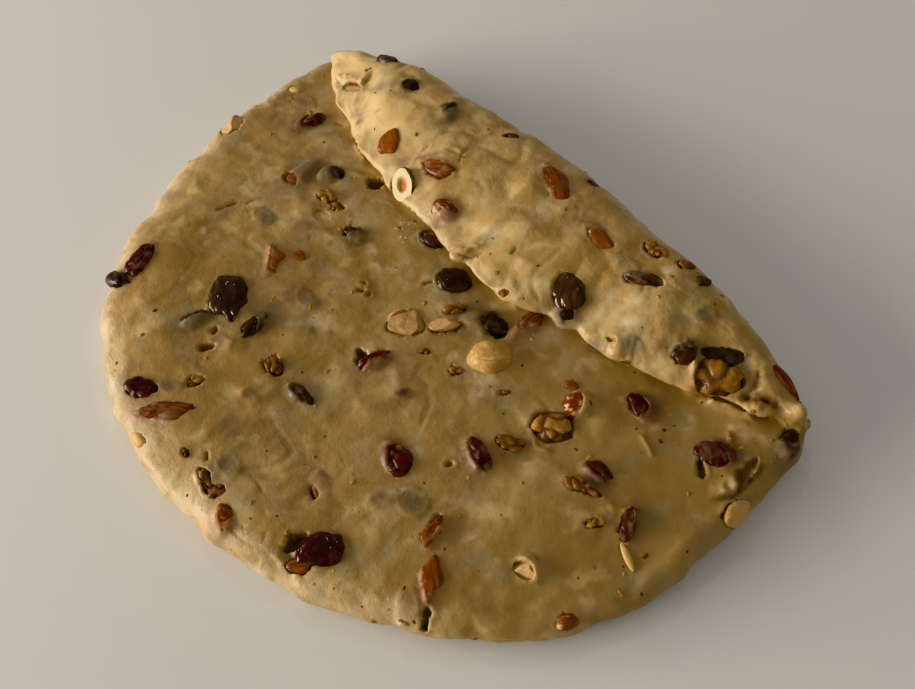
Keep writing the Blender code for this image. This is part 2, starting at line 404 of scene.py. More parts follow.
# height: as a share of width; plump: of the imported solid's size; rise: how much prouder it
# stands; sides and corner: of its rounded outline; uneven: how much its sides differ; square:
# how full its section is, 2 for an ellipse; own and halo: what shows through the thinnest dough
# and through thicker; reach: how thick that may be
kinds = dict(
    cranberry=dict(height=0.80, plump=1.20, rise=0.8, sides=7, corner=5, uneven=0.13, square=3.3,
                   own=(0.085, 0.020, 0.022), halo=(0.150, 0.098, 0.070), reach=0.60),
    raisin=dict(height=0.70, plump=1.20, rise=0.8, sides=7, corner=5, uneven=0.13, square=3.3,
                own=(0.050, 0.030, 0.024), halo=(0.135, 0.108, 0.067), reach=0.70),
    almond=dict(height=0.62, plump=1.22, rise=0.7, sides=5, corner=6, uneven=0.12, square=3.2,
                own=(0.30, 0.085, 0.030), halo=(0.30, 0.185, 0.115), reach=0.45),
    hazelnut=dict(height=0.92, plump=1.06, rise=0.7, sides=9, corner=8, uneven=0.04, square=2.4,
                  own=(0.50, 0.33, 0.15), halo=(0.47, 0.34, 0.18), reach=0.45),
    walnut=dict(height=0.66, plump=1.16, rise=0.7, sides=7, corner=7, uneven=0.18, square=3.0,
                own=(0.26, 0.135, 0.045), halo=(0.30, 0.20, 0.11), reach=0.42),
)

# How a piece differs from the usual one of its kind. film: where dough laps over it, as a
# heading and a share of its size. bare: size of the opening over the piece's. torn: how
# ragged the opening is. tone: how light, 0 to 1. cuts: flat faces, each as heading, tilt
# from straight up and distance from the middle. lean: where its outline is further out, and by
# how much. smear: dough left on it. gloss: how wet it is. skin, shade, pale: how much skin a
# nut has left, how much darker all of it is, and how pale its cut faces are. hollow: size of
# the hollow in a cut face. fold: size of a walnut's folds. wrinkled: how deep a berry's folds
# are. cover: thickness of the film over it, in mm.
odd = {
    "cranberry_01": dict(tone=0.55, smear=0.3),
    "cranberry_02": dict(torn=0.12, tone=0.45),
    "cranberry_03": dict(tone=0.25, smear=0.0, gloss=0.8),
    "cranberry_04": dict(film=(200, 0.22), tone=0.7),
    "cranberry_05": dict(film=(262, 0.20), tone=0.55, torn=0.10, smear=0.6),
    "cranberry_06": dict(film=(325, 0.52), tone=0.6),
    "cranberry_07": dict(film=(240, 0.15), tone=0.4, smear=0.4),
    "cranberry_08": dict(film=(30, 0.25), tone=0.35, smear=0.1, rise=0.6),
    "cranberry_09": dict(film=(275, 0.3), tone=0.35),
    "cranberry_10": dict(film=(50, 0.25), tone=0.9),
    "cranberry_11": dict(film=(60, 0.15), tone=0.25, smear=0.35, wrinkled=0.6, rise=0.5),
    "raisin_01": dict(plump=1.45, tone=0.1, rise=0.6),
    "raisin_02": dict(tone=0.45, torn=0.02, sides=5, uneven=0.10, lean=(200, 0.14), rise=1.2, smear=0.0,
                      gloss=0.8),
    "raisin_03": dict(film=(350, 0.7), tone=0.0, smear=0.3),
    "raisin_04": dict(film=(80, 0.3), tone=0.4),
    "raisin_05": dict(film=(265, 0.3), tone=0.3, smear=0.5),
    "raisin_06": dict(film=(200, 0.42), plump=1.35, tone=0.1, torn=0.10, smear=0.4, rise=1.2),
    "raisin_07": dict(tone=0.0, torn=0.02, rise=1.3, smear=0.0, gloss=0.35, sides=6, corner=4, uneven=0.06),
    "raisin_08": dict(film=(10, 0.5), tone=0.1),
    "raisin_09": dict(film=(240, 0.62), tone=0.2),
    "raisin_10": dict(film=(300, 0.35), tone=0.4, smear=0.3, rise=1.0),
    "raisin_12": dict(film=(235, 0.4), tone=0.5),
    "raisin_13": dict(film=(320, 0.55), tone=0.2),
    "raisin_14": dict(film=(140, 0.25), tone=0.5),
    "raisin_15": dict(tone=0.8, torn=0.02, smear=0.0, rise=1.5, gloss=1.0, wrinkled=0.8),
    "raisin_16": dict(tone=0.7, torn=0.06, smear=0.7),
    "raisin_17": dict(film=(140, 0.2), tone=0.6, torn=0.15),
    "almond_01": dict(film=(230, 0.25), tone=0.8, sides=3, corner=9),
    "almond_02": dict(bare=0.9, film=(255, 0.1), tone=0.05, smear=0.5, sides=4),
    "almond_03": dict(film=(300, 0.4), tone=0.1, smear=1.0),
    "almond_04": dict(film=(110, 0.75), tone=0.3, smear=0.8, rise=-0.5),
    "almond_05": dict(film=(20, 0.3), tone=0.1, torn=0.2, sides=4, uneven=0.2),
    "almond_06": dict(film=(275, 0.12), tone=0.5, torn=0.12, sides=4, uneven=0.18, square=4),
    "almond_07": dict(film=(290, 0.3), tone=0.1, rise=0.5, smear=0.5, own=(0.20, 0.06, 0.03),
                      halo=(0.30, 0.17, 0.10), reach=0.9),
    "almond_08": dict(film=(88, 0.72), tone=0.2, rise=0.2, smear=0.6, own=(0.20, 0.09, 0.07),
                      halo=(0.26, 0.17, 0.12), reach=0.9),
    "almond_09": dict(tone=1.0, film=(100, 0.2), smear=1.0, cuts=((90, 14, 0.3),)),
    "almond_10": dict(tone=0.6),
    "almond_11": dict(tone=0.35, torn=0.18, bare=0.95, film=(150, 0.2), smear=0.6, gloss=0.4),
    "almond_12": dict(tone=0.4, film=(200, 0.1), gloss=0.3),
    "almond_13": dict(film=(185, 0.2), tone=0.6, gloss=0.5),
    "almond_14": dict(tone=0.0),
    "hazelnut_01": dict(film=(80, 0.3), cuts=((170, 50, 0.35), (290, 50, 0.4), (50, 55, 0.5))),
    "hazelnut_02": dict(cuts=((0, 4, 0.50), (190, 40, 0.72), (80, 48, 0.78), (310, 42, 0.74)), bare=0.98,
                        film=(140, 0.08), sides=6, rise=1.5, skin=0.8, shade=0.5),
    "hazelnut_03": dict(cuts=((20, 14, 0.35), (200, 60, 0.6), (120, 40, 0.6)), bare=1.0, rise=1.2, skin=0.5),
    "hazelnut_04": dict(bare=0.90, torn=0.02, rise=2.4, skin=0.35),
    "hazelnut_05": dict(cuts=((200, 35, 0.4), (100, 60, 0.5), (300, 50, 0.55)), bare=1.0, skin=0.8),
    "hazelnut_06": dict(film=(40, 0.35), skin=1.0),
    "hazelnut_07": dict(cuts=((20, 30, 0.35), (140, 60, 0.5), (270, 50, 0.5)), bare=1.0, rise=2.4, skin=0.5),
    "hazelnut_08": dict(cuts=((150, 28, 0.25),), hollow=0.55, bare=1.0, pale=1.0, rise=1.0, skin=0.9),
    "hazelnut_09": dict(bare=0.3, film=(300, 0.5), rise=-0.5, cover=0.6, own=(0.13, 0.05, 0.045),
                        halo=(0.25, 0.140, 0.115), reach=1.5, skin=1.0),
    "walnut_01": dict(bare=1.05, torn=0.1),
    "walnut_03": dict(torn=0.15),
    "walnut_04": dict(bare=1.04, torn=0.04, tone=0.8, fold=6.0, plump=1.0, sides=5, uneven=0.05, corner=7,
                      rise=0.9),
    "walnut_05": dict(tone=0.4),
    "walnut_06": dict(torn=0.1, tone=0.2),
    "walnut_07": dict(torn=0.1, tone=0.4),
    "walnut_08": dict(bare=1.0, tone=0.45, rise=1.4, fold=8.5),
}


def outlineOf(spot, angle):
    # how far out the outline lies over the plain ellipse: a polygon with rounded corners
    total = 0
    for way, far in spot["sides"]:
        total = total + np.maximum(np.cos(angle - way) / far, 0) ** spot["corner"]
    heading, lean = spot.get("lean", (0, 0))
    return total ** (-1 / spot["corner"]) * (1 + lean * np.cos(angle - math.radians(heading)))


def liftTop(spot, u, v):
    # height of a piece's upper surface over its middle, and how far out a place lies in it
    a, b, c = spot["half"]
    share = np.hypot(u / a, v / b) / outlineOf(spot, np.arctan2(v / b, u / a))
    return c * np.maximum(1 - share ** spot["square"], 0) ** (1 / spot["square"]), share


def openingRadius(spot, angle):
    # the opening's edge as seen from its middle: the piece's outline, more or less ragged
    opening = spot["opening"]
    a, b = opening["half"]
    plain = a * b / np.hypot(b * np.cos(angle), a * np.sin(angle))
    plain *= outlineOf(spot, np.arctan2(np.sin(angle) / b, np.cos(angle) / a))
    seed = spot["seed"]
    waves = ((2, 1, 1.0), (3, 2, 0.8), (5, 3, 0.6), (9, 1, 0.4), (14, 5, 0.3))
    waver = sum(np.sin(count * angle + shift * seed) * size for count, shift, size in waves)
    return plain * (1 + opening["torn"] * waver * 0.6)


def setOpening(spot, bare=0.84, film=None, torn=0.05):
    half = np.array(spot["half"][:2]) * bare
    shift, toward = np.zeros(2), np.zeros(2)
    if film:
        heading, share = film
        toward = spot["axes"][:2] @ np.append(wayOf(heading), 0)
        toward /= max(np.linalg.norm(toward), 1e-6)
        reach = np.hypot(toward[0] * half[0], toward[1] * half[1])
        shift = -toward * reach * share
        half = half * (1 - share * np.abs(toward) * 0.98)
    spot["opening"] = dict(half=half, shift=shift, torn=torn, toward=toward)


def placePoints(spot):
    # points for the skin's triangles: three loops at the opening's lip and a fine field round it
    opening = spot["opening"]
    spot["lipPoints"] = np.zeros((0, 3))
    reach = max(opening["half"]) * 1.1 if opening else max(spot["half"][:2]) * 1.1
    line = np.arange(-reach - 2.4, reach + 2.4, grain["near"])
    x, y = np.meshgrid(line, line)
    field = np.stack([x.ravel(), y.ravel()], axis=1)
    if not opening:
        spot["nearPoints"] = onSkin(spot, field[np.hypot(*field.T) < reach + 1] * 1.3)
        return
    count = int(2 * math.pi * reach / grain["lip"])
    angle = np.linspace(0, 2 * math.pi, max(count, 14), endpoint=False)
    edge = openingRadius(spot, angle)
    loops = [polar(edge + step, angle) + opening["shift"] for step in (-grain["lip"], 0.0, grain["lip"])]
    spot["lipPoints"] = onSkin(spot, np.concatenate(loops))
    away = np.hypot(*field.T) - openingRadius(spot, np.arctan2(field[:, 1], field[:, 0]))
    field = field[(away > -1.5) & (away < 2.4)] + opening["shift"]
    spot["nearPoints"] = onSkin(spot, field)


def onSkin(spot, places):
    return spot["skinAt"] + places[:, :1] * spot["axes"][0] + places[:, 1:2] * spot["axes"][1]


def makeSpot(kind, centre, axes, half, seed, **look):
    point, _, _, _ = skin.find_nearest(Vector(centre))
    usual = {**kinds["walnut"], **kinds.get(kind, {}), **look}
    chance = np.random.default_rng(int(seed * 10))
    count = usual["sides"]
    ways = 2 * math.pi * (np.arange(count) + chance.uniform(-0.25, 0.25, count)) / count
    ways += chance.uniform(0, 6)
    fars = math.cos(math.pi / count) ** 0.6 * (1 + usual["uneven"] * chance.uniform(-1, 1, count))
    spot = dict(usual, kind=kind, seed=seed, axes=axes, look=look, skinAt=np.array(point), opening=None,
                half=np.array(half), centre=np.array(centre, float), sides=list(zip(ways, fars)))
    spot["spreadAt"] = unroll(spot["skinAt"][None, :])[0][0]
    if not look.get("hidden"):
        setOpening(spot, look.get("bare", 0.84), look.get("film"), look.get("torn", 0.05))
    placePoints(spot)
    return spot


def lieOf(normal, heading):
    # axes of a piece that lies on the skin: along it, across it and outward
    along = np.append(wayOf(heading), 0)
    along -= normal * along.dot(normal)
    along /= np.linalg.norm(along)
    return np.stack([along, np.cross(normal, along), normal])


def spotFromNode(name, number):
    # lies along the solid's longest way on the skin, with its broader end behind
    kind = name.split("_")[0]
    points = nodePoints(name)
    centre = (points.min(axis=0) + points.max(axis=0)) / 2
    _, normal, _, _ = skin.find_nearest(Vector(centre))
    normal = np.array(normal)
    inPlane = (points - centre) - ((points - centre) @ normal)[:, None] * normal
    _, vectors = np.linalg.eigh(inPlane.T @ inPlane)
    along = vectors[:, 2] / np.linalg.norm(vectors[:, 2])
    across = np.cross(normal, along)
    front = (points - centre) @ along > 0
    breadth = np.abs((points - centre) @ across)
    if breadth[front].mean() > breadth[~front].mean():
        along, across = -along, -across
    axes = np.stack([along, across, normal])
    local = (points - centre) @ axes.T
    top, bottom = local.max(axis=0), local.min(axis=0)
    centre = centre + (top + bottom) / 2 @ axes
    half = (top - bottom) / 2
    usual, look = kinds[kind], odd.get(name, {})
    plump = look.get("plump", usual["plump"])
    half = np.array([half[0], half[1], half[1] * usual["height"]]) * plump
    rise = look.get("rise", usual["rise"] - 0.7 * look.get("film", (0, 0))[1])
    centre = centre + normal * (rise - half[2] * (1 - 1 / plump))
    return makeSpot(kind, centre, axes, half, number * 1.7, **look)


def spotFromAbove(kind, place, number, proud, **look):
    # proud: how far its top stands over the skin
    x, y, heading, length, width = place
    point, normal, _, _ = skin.ray_cast(Vector((x, y, 90)), Vector((0, 0, -1)))
    if point is None:
        point, normal, _, _ = skin.find_nearest(Vector((x, y, 6)))
    normal = np.array(normal)
    axes = lieOf(normal, heading)
    height = look.get("height", kinds.get(kind, {}).get("height", 0.7))
    plump = 1.0 if look.get("hidden") or kind == "hole" else 1.1
    half = (length / 2 * plump, width / 2 * plump, max(width * height / 2, 1.2))
    centre = np.array(point) + normal * (proud - half[2])
    return makeSpot(kind, centre, axes, half, number * 2.3 + 50, **look)


# further chips that break the skin: x, y, heading, length, width, and how they differ
chips = dict(
    almond=(
        ((-48, -41, 21, 6, 4), dict(tone=0.7)), ((60, -2, 27, 5, 3.5), dict(tone=0.6, torn=0.15)),
        ((52, -112, 60, 8, 5), dict(tone=0.2, bare=1.05)), ((-26, 9, 40, 5, 3), dict(tone=0.3)),
    ),
    walnut=(
        ((-26, -101, 76, 6, 4), dict(bare=1.1)), ((8, -118, -24, 10, 5), dict(tone=0.2, torn=0.15)),
        ((14, -118, 58, 9, 5), dict(tone=0.0, torn=0.15)), ((18, 4, 51, 5, 4), {}),
        ((16, -32, 51, 4, 3), {}), ((29, -29, 51, 6, 4), dict(torn=0.2)),
        ((-60, -15, 11, 7, 5), dict(torn=0.2)), ((102, -32, 66, 7, 4), dict(torn=0.15)),
        ((55, 57, 60, 9, 6), dict(tone=0.2, torn=0.15)), ((47, -22, 51, 6, 2.4), dict(tone=0.2)),
    ),
    hazelnut=(
        ((-60, -22, 17, 7, 6), dict(cuts=((0, 5, 0.4),))), ((-126, 11, 40, 6, 4), {}),
        ((-21, -128, 20, 8, 5), dict(tone=0.2)), ((119, -60, 60, 8, 5), dict(tone=0.1, skin=0.9)),
        ((116, -32, -20, 10, 2.4), dict(torn=0.02)),
    ),
    raisin=(
        ((39, 13, 22, 10, 8), dict(bare=0.6, film=(220, 0.4), tone=0.1, cover=0.2)),
        ((64, 57, 94, 10, 5), dict(tone=0.3, torn=0.15)),
        ((88, 41, 41, 17, 6.5), dict(tone=0.2, torn=0.15, gloss=0.6)), ((-34, 53, 43, 7, 3), dict(tone=0.4)),
        ((-4, -118, 0, 5, 2.5), dict(tone=0.8)),
    ),
    cranberry=(
        ((4, 62, 20, 6, 5), dict(tone=0.3, bare=0.8)),
    ),
)

# pieces that only show through the skin: x, y, heading, length, width, how far over the skin
# the dough is pushed, the kind it is and how strongly it shows
sunken = (
    (59, -72, 15, 14, 11, 1.0, "raisin", 0.95), (51, -78, 70, 11, 7, 0.7, "raisin", 0.7),
    (-117, 10, 25, 11, 7, 0.5, "almond", 0.6),
    (-125, 4, 19, 9, 5, 0.3, "almond", 0.6), (-97, 24, 125, 11, 4.5, 0.3, "almond", 0.6),
    (74, 46, 30, 9, 8, 0.9, "raisin", 0.9), (65, 20, 19, 13, 10, 1.2, "raisin", 0.7),
    (118, 53, 20, 12, 8, 1.2, "raisin", 0.6), (55, 14, 11, 8, 5, 0.3, "raisin", 0.6),
    (-8, -90, 13, 9, 5, 0.2, "raisin", 0.6), (-29, -109, 25, 10, 6, 0.4, "raisin", 0.6),
    (-34, -85, 25, 10, 6, 0.4, "almond", 0.6), (10, -110, 4, 12, 8, 0.5, "raisin", 0.6),
    (25, -49, 51, 8, 3.5, 0.2, "cranberry", 0.6), (-74, -40, 18, 10, 8, 0.5, "raisin", 0.6),
    (-30, -51, 4, 11, 7, 0.3, "raisin", 0.6), (42, 41, 30, 10, 8, 1.2, "hazelnut", 0.6),
    (118, 46, 40, 7, 6, 1.2, "hazelnut", 0.6), (84, -94, 130, 14, 7, 0.4, "almond", 0.6),
    (61, 50, 30, 10, 7, 1.0, "hazelnut", 0.6), (-86, 16, 115, 5, 3.5, 0.2, "cranberry", 0.9),
)

# openings with nothing in them: x, y, heading, length, width, depth
holes = (
    (46, -108, 60, 9, 7, 3.0), (4, -51, -27, 11, 4.5, 3.5), (-59, 4, 15, 8, 6.5, 4.5),
    (111, 8, -37, 7, 2.6, 3.0), (121.5, 18, 104, 15, 4.5, 1.8), (58, 18, 20, 4, 1.8, 2.0),
    (90, -92, 130, 7, 3, 3.0), (-40, -84, 110, 4.5, 2, 2.5), (-36, -90, 60, 6, 3, 2.5),
    (-20, -33, 60, 3.2, 2.4, 1.6), (-17, -32, 40, 2.4, 2, 1.4), (-7, -12, 70, 4.5, 1.6, 1.4),
    (-22, -30, 20, 2, 1.4, 1.2), (-10, 2, 60, 4, 1, 1.2), (56, -54, 80, 2.6, 2.4, 2.0),
)


# Marks in the skin itself. Strokes: profile, width, height or depth, how dark its painted shade is,
# and the course as seen from above, with a lap's upper side on its left. Tints: soft patches of
# another colour, a few of them painted shadow or highlight.
strokes = (
    ("lap", 1.6, 1.3, 0.3, ((-118, 27), (-110, 26), (-102, 29), (-104, 38))),
    ("lap", 1.4, 1.0, 0.4, ((-53, 19), (-49, 24), (-43, 31), (-37, 33))),
    ("lap", 2.2, 1.8, 0.8, ((119, 2), (123, 9), (123, 21), (120, 27))),
    ("ridge", 1.8, 2.8, 0, ((80, 33), (85, 31), (91, 27))),
    ("ridge", 1.5, 2.6, 0, ((91, 27), (99, 31), (111, 37))),
    ("groove", 1.8, 3.0, 1.0, ((101, 35), (107, 40), (115, 43))),
    ("groove", 1.2, 1.6, 0.7, ((103, 37), (103, 42), (100, 47))),
    ("ridge", 0.8, 0.9, 0, ((88, 2), (93, 1), (98, -1))),
    ("ridge", 1.1, 1.1, 0, ((100, -26), (104, -22), (110, -21))),
    ("ridge", 1.0, 1.2, 0, ((42, -116), (49, -115), (57, -113))),
    ("ridge", 0.8, 1.0, 0, ((43, -111), (49, -110), (54, -107))),
    ("groove", 0.7, 0.9, 0.5, ((42, -113), (49, -112), (56, -110))),
    ("ridge", 1.2, 0.9, 0, ((3, -119), (8, -120), (16, -121))),
    ("groove", 0.5, 0.9, 0.8, ((-88, -54), (-87, -48), (-86, -43))),
    ("groove", 0.4, 0.6, 0.6, ((-83, -43), (-83, -38), (-81, -34))),
    ("groove", 0.5, 0.8, 0.5, ((9, 14), (8, 19))),
    ("groove", 0.7, 1.0, 0.5, ((-8, 1), (-2, 5), (0, 11))),
    ("ridge", 1.0, 1.4, 0, ((-9, 2), (-5, 5), (-4, 9), (-1, 12))),
    ("ridge", 1.1, 1.2, 0, ((-83, 11), (-76, 9), (-70, 8))),
    ("ridge", 0.7, 0.9, 0, ((106, 26), (109, 24), (113, 21))),
    ("groove", 0.9, 1.6, 1.0, ((109, 10), (113, 6))),
    ("groove", 1.1, 1.8, 0.9, ((119, 41), (124, 40))),
    ("groove", 0.8, 1.6, 1.0, ((108, -25), (109, -29))),
    ("groove", 0.6, 1.2, 0.9, ((4, -115), (0, -112))),
    ("ridge", 2.0, 1.6, 0, ((116, 46), (121, 45))),
    ("ridge", 0.8, 0.9, 0, ((66, -26), (70, -28), (75, -25))),
    ("ridge", 0.8, 0.6, 0, ((-37, -2), (-36, 1), (-33, 4))),
    ("ridge", 1.5, 0.7, 0, ((17, 8), (22, 6), (25, 5))),
    ("groove", 0.5, 0.5, 0.2, ((22, -116), (27, -117), (33, -119))),
    ("groove", 0.5, 0.5, 0.2, ((22, -111), (29, -113), (34, -116))),
    ("groove", 0.5, 0.5, 0.2, ((26, -122), (33, -121), (38, -119))),
    ("groove", 0.5, 0.4, 0.2, ((30, -107), (35, -111), (40, -117))),
    ("groove", 0.5, 0.4, 0.2, ((14, -108), (20, -106), (27, -107))),
    ("groove", 0.6, 0.5, 0.2, ((-99, 12), (-94, 15))),
)
tones = dict(
    mauve=(0.235, 0.145, 0.100), grey=(0.200, 0.155, 0.100), blue=(0.185, 0.165, 0.120),
    wine=(0.160, 0.050, 0.030), pink=(0.430, 0.270, 0.155), olive=(0.130, 0.090, 0.030),
    green=(0.300, 0.245, 0.125), cream=(0.680, 0.500, 0.250), brown=(0.270, 0.130, 0.040),
    rose=(0.400, 0.235, 0.170), haze=(0.440, 0.370, 0.250), plum=(0.075, 0.025, 0.024),
    flour=(0.800, 0.640, 0.400),
)
tints = (
    (-116, 8, 16, 12, 7, "mauve", 0.6), (-125, 1, 76, 6, 4, "grey", 0.5),
    # the grey patch at x -110 is painted shadow
    (-110, -4, 57, 17, 8, "grey", 0.4), (-83, -15, 98, 15, 8, "mauve", 0.85),
    (-83, -22, 53, 4, 4, "wine", 0.8), (-68, 3, 21, 6, 3, "olive", 0.6),
    (-86, -49, 81, 9, 4, "blue", 0.6), (-81, -40, 61, 9, 3, "cream", 0.6),
    (-71, -39, 55, 9, 13, "blue", 0.65), (-83, -62, 45, 3, 6, "cream", 0.7),
    (-109, -62, 95, 10, 9, "mauve", 0.5), (-46, -28, 56, 3, 4, "wine", 0.5),
    (-39, -39, 48, 8, 8, "blue", 0.5), (-36, -52, 130, 12, 13, "mauve", 0.5),
    (-30, -53, 135, 6, 8, "blue", 0.6), (-35, -62, 48, 8, 7, "blue", 0.4),
    (-13, -24, 45, 7, 8, "green", 0.4), (-48, -88, 82, 11, 7, "blue", 0.7),
    (-34, -85, 49, 6, 3, "pink", 0.6), (-17, -57, 45, 5, 6, "olive", 0.7),
    (-45, -113, 73, 7, 5, "mauve", 0.55), (-30, -109, 59, 8, 8, "mauve", 0.5),
    (-8, -84, 49, 7, 9, "green", 0.45), (13, -61, 51, 4, 5, "pink", 0.4),
    (25, -49, 0, 4, 6, "plum", 0.85), (18, -64, 53, 4, 5, "cream", 0.5),
    (8, -111, 128, 8, 13, "grey", 0.65), (-6, -118, 45, 3, 3, "brown", 0.5),
    (33, -88, 117, 5, 8, "mauve", 0.5), (45, -108, 79, 7, 6, "grey", 0.7),
    # the haze patch at x 39 is partly the grey wet skin, partly painted light over skin that lies in shade
    (27, -6, 50, 5, 5, "blue", 0.4), (39, 8, 60, 21, 11, "haze", 0.6),
    (86, 39, 41, 14, 5, "plum", 0.8), (54, 14, 24, 9, 6, "grey", 0.6),
    (59, 6, 49, 7, 6, "mauve", 0.45), (83, 15, 117, 8, 8, "mauve", 0.6),
    (91, -24, 40, 11, 4, "blue", 0.6), (111, -18, 124, 10, 12, "green", 0.5),
    (86, -86, 129, 5, 8, "pink", 0.45), (96, -61, 79, 7, 4, "olive", 0.6),
    (-97, 39, 70, 12, 14, "green", 0.7), (-95, 45, 45, 6, 8, "wine", 0.4),
    (-92, 33, 52, 13, 7, "blue", 0.7), (-90, 19, 111, 6, 13, "rose", 0.8),
    (-83, 24, 68, 4, 2, "wine", 0.4), (-57, 41, 57, 5, 9, "blue", 0.6),
    (-55, 14, 41, 7, 6, "mauve", 0.55), (-27, 11, 42, 8, 8, "mauve", 0.4),
    (-22, 5, 31, 3, 2, "wine", 0.7), (-27, 16, 36, 6, 4, "olive", 0.4),
    (-20, 28, 71, 13, 10, "green", 0.5), (-29, 54, 6, 9, 6, "blue", 0.4),
    (-9, 46, 112, 9, 11, "pink", 0.5), (-13, 14, 30, 11, 7, "cream", 0.7),
    (-5, 16, 53, 8, 6, "flour", 0.8), (25, 14, 23, 11, 7, "flour", 0.45),
    (14, 15, 15, 10, 4, "cream", 0.5), (39, 42, 33, 11, 6, "green", 0.6),
    (53, 50, 169, 6, 6, "flour", 0.7), (43, 31, 179, 11, 4, "pink", 0.4),
    (54, 33, 44, 7, 7, "flour", 0.5), (58, 26, 47, 7, 5, "flour", 0.55),
    (70, 39, 111, 6, 10, "blue", 0.6), (74, 45, 45, 7, 6, "blue", 0.7),
    (73, 46, 66, 3, 2, "plum", 0.7), (65, 21, 17, 12, 6, "blue", 0.7),
    (95, 44, 113, 6, 9, "blue", 0.6), (91, 47, 46, 5, 4, "cream", 0.4),
    (95, 52, 109, 12, 11, "green", 0.4), (125, 34, 98, 5, 12, "grey", 0.6),
    (119, 15, 106, 5, 9, "olive", 0.8), (118, 46, 64, 6, 6, "cream", 0.5),
    (107, 27, 53, 4, 4, "cream", 0.7), (21, 6, 40, 16, 8, "cream", 0.6),
    # the two haze streaks over the sunken raisin are painted highlights
    (53, -72, 65, 12, 2.5, "haze", 0.8), (58, -68, 30, 9, 2.5, "haze", 0.6),
)


# broad forms of the skin: x, y, heading, length, width and height
humps = (
    (-92, 43, 40, 30, 20, 1.8), (-110, 33, 60, 20, 14, 1.2), (21, 6, 40, 18, 10, 1.0),
    (-100, 33, 30, 8, 12, -1.0), (-12, 43, 110, 22, 18, 1.3), (-27, 12, 50, 14, 12, 1.0),
    (-30, -82, 40, 12, 10, 0.8), (70, 24, 40, 14, 10, 0.8), (36, 24, 40, 20, 10, 0.9),
    (-66, -25, 40, 14, 12, 0.6), (118, 46, 40, 9, 8, 1.8), (79, -4, 60, 16, 12, 0.9),
    (110, 33, 60, 20, 12, 1.0), (14, 15, 15, 16, 8, 0.9),
)


def patchOn(points, normals, facing, x, y, heading, length, width):
    # the points of an oval patch of the skin, and how far out each lies: 1 at its edge
    at = np.array(dropOn(x, y))
    index = np.flatnonzero((np.linalg.norm(points - at, axis=1) < length) & (normals[:, 2] > facing))
    along = wayOf(heading)
    u = (points[index, :2] - at[:2]) @ along
    v = (points[index, :2] - at[:2]) @ [-along[1], along[0]]
    return index, np.hypot(u / length, v / width) * 2


def addHumps(points, normals):
    for *patch, height in humps:
        index, share = patchOn(points, normals, -0.2, *patch)
        points[index] += normals[index] * (height * ease(1.1, 0.2, share))[:, None]


def courseOf(places):
    # a stroke's course, rounded off and laid on the skin
    places = np.array(places, float)
    run = np.append(0, np.cumsum(np.hypot(*np.diff(places, axis=0).T)))
    at = np.linspace(0, run[-1], int(run[-1] / 0.25) + 2)
    line = np.stack([np.interp(at, run, places[:, k]) for k in (0, 1)], axis=1)
    window = min(9, len(at) // 2 * 2 - 1)
    padded = np.concatenate([np.repeat(line[:1], window // 2, 0), line, np.repeat(line[-1:], window // 2, 0)])
    line = np.stack([np.convolve(padded[:, k], np.ones(window) / window, "valid") for k in (0, 1)], axis=1)
    return np.array([dropOn(x, y) for x, y in line])


def dropOn(x, y):
    point = skin.ray_cast(Vector((x, y, 90)), Vector((0, 0, -1)))[0]
    return tuple(point) if point else (x, y, 0)


def strokeSpots():
    # strokes take part in the cutting of the skin like a piece's near points
    marks = []
    for profile, width, height, dark, places in strokes:
        course = courseOf(places)
        way = np.gradient(course[:, :2], axis=0)
        way /= np.maximum(np.hypot(*way.T), 1e-6)[:, None]
        left = np.stack([-way[:, 1], way[:, 0]], axis=1)
        reach = 2.4 * width if profile == "lap" else 1.8 * width
        across = np.arange(-reach, reach + 0.1, 0.5)
        field = np.concatenate([[dropOn(*(point[:2] + side * step)) for step in across]
                                for point, side in list(zip(course, left))[::2]])
        middlePoint = course[len(course) // 2]
        marks.append(dict(profile=profile, width=width, height=height, dark=dark, course=course, left=left,
                          nearPoints=field, lipPoints=np.zeros((0, 3)),
                          half=np.ptp(course, axis=0).max() * np.ones(2),
                          spreadAt=unroll(middlePoint[None, :])[0][0]))
    return marks


def drawStroke(mark, points, normals, paint):
    course, width = mark["course"], mark["width"]
    low, high = course.min(axis=0) - 3 * width, course.max(axis=0) + 3 * width
    index = np.flatnonzero(np.all((points > low) & (points < high), axis=1) & (normals[:, 2] > -0.1))
    if not len(index):
        return
    apart = points[index][:, None, :2] - course[None, :, :2]
    far = np.hypot(apart[..., 0], apart[..., 1])
    nearest = far.argmin(axis=1)
    row = np.arange(len(index))
    side = np.einsum("ij,ij->i", apart[row, nearest], mark["left"][nearest])
    across = far[row, nearest] * np.where(side < 0, -1, 1)
    share = nearest / (len(course) - 1)
    ends = ease(0, 0.25, share) * ease(1, 0.75, share) * (0.85 + 0.4 * noise(points[index], 2.5, 4))
    profile = np.exp(-(across / width) ** 2)
    # a groove, and the foot under a lap, get painted shade
    if mark["profile"] == "groove":
        lift, dark = -profile, profile
    elif mark["profile"] == "ridge":
        lift, dark = profile, 0 * profile
    else:
        foot = np.exp(-((across + 0.5 * width) / (0.4 * width)) ** 2)
        back = np.exp(-(across / (2.2 * width)) ** 2)
        lift = np.where(across > 0, back, ease(-0.5, 0, across)) - 0.4 * foot
        dark = foot
    points[index] += normals[index] * (mark["height"] * lift * ends)[:, None]
    paintShade(paint, index, mark["dark"] * dark * np.clip(ends, 0, 1))


def stain(paint, index, colour, amount):
    # a further colour over the ones already there, each weighing as much as it covers
    old = paint["stain"][index]
    total = np.maximum(old[:, 3:] + amount, 1e-6)
    paint["stain"][index, :3] = (old[:, :3] * old[:, 3:] + amount * colour) / total
    paint["stain"][index, 3:] = 1 - (1 - old[:, 3:]) * (1 - amount)


# painted shade: darkens the skin where shade falls, in openings, holes, grooves and under laps
def paintShade(paint, index, amount):
    paint["deep"][index] = np.maximum(paint["deep"][index], amount)


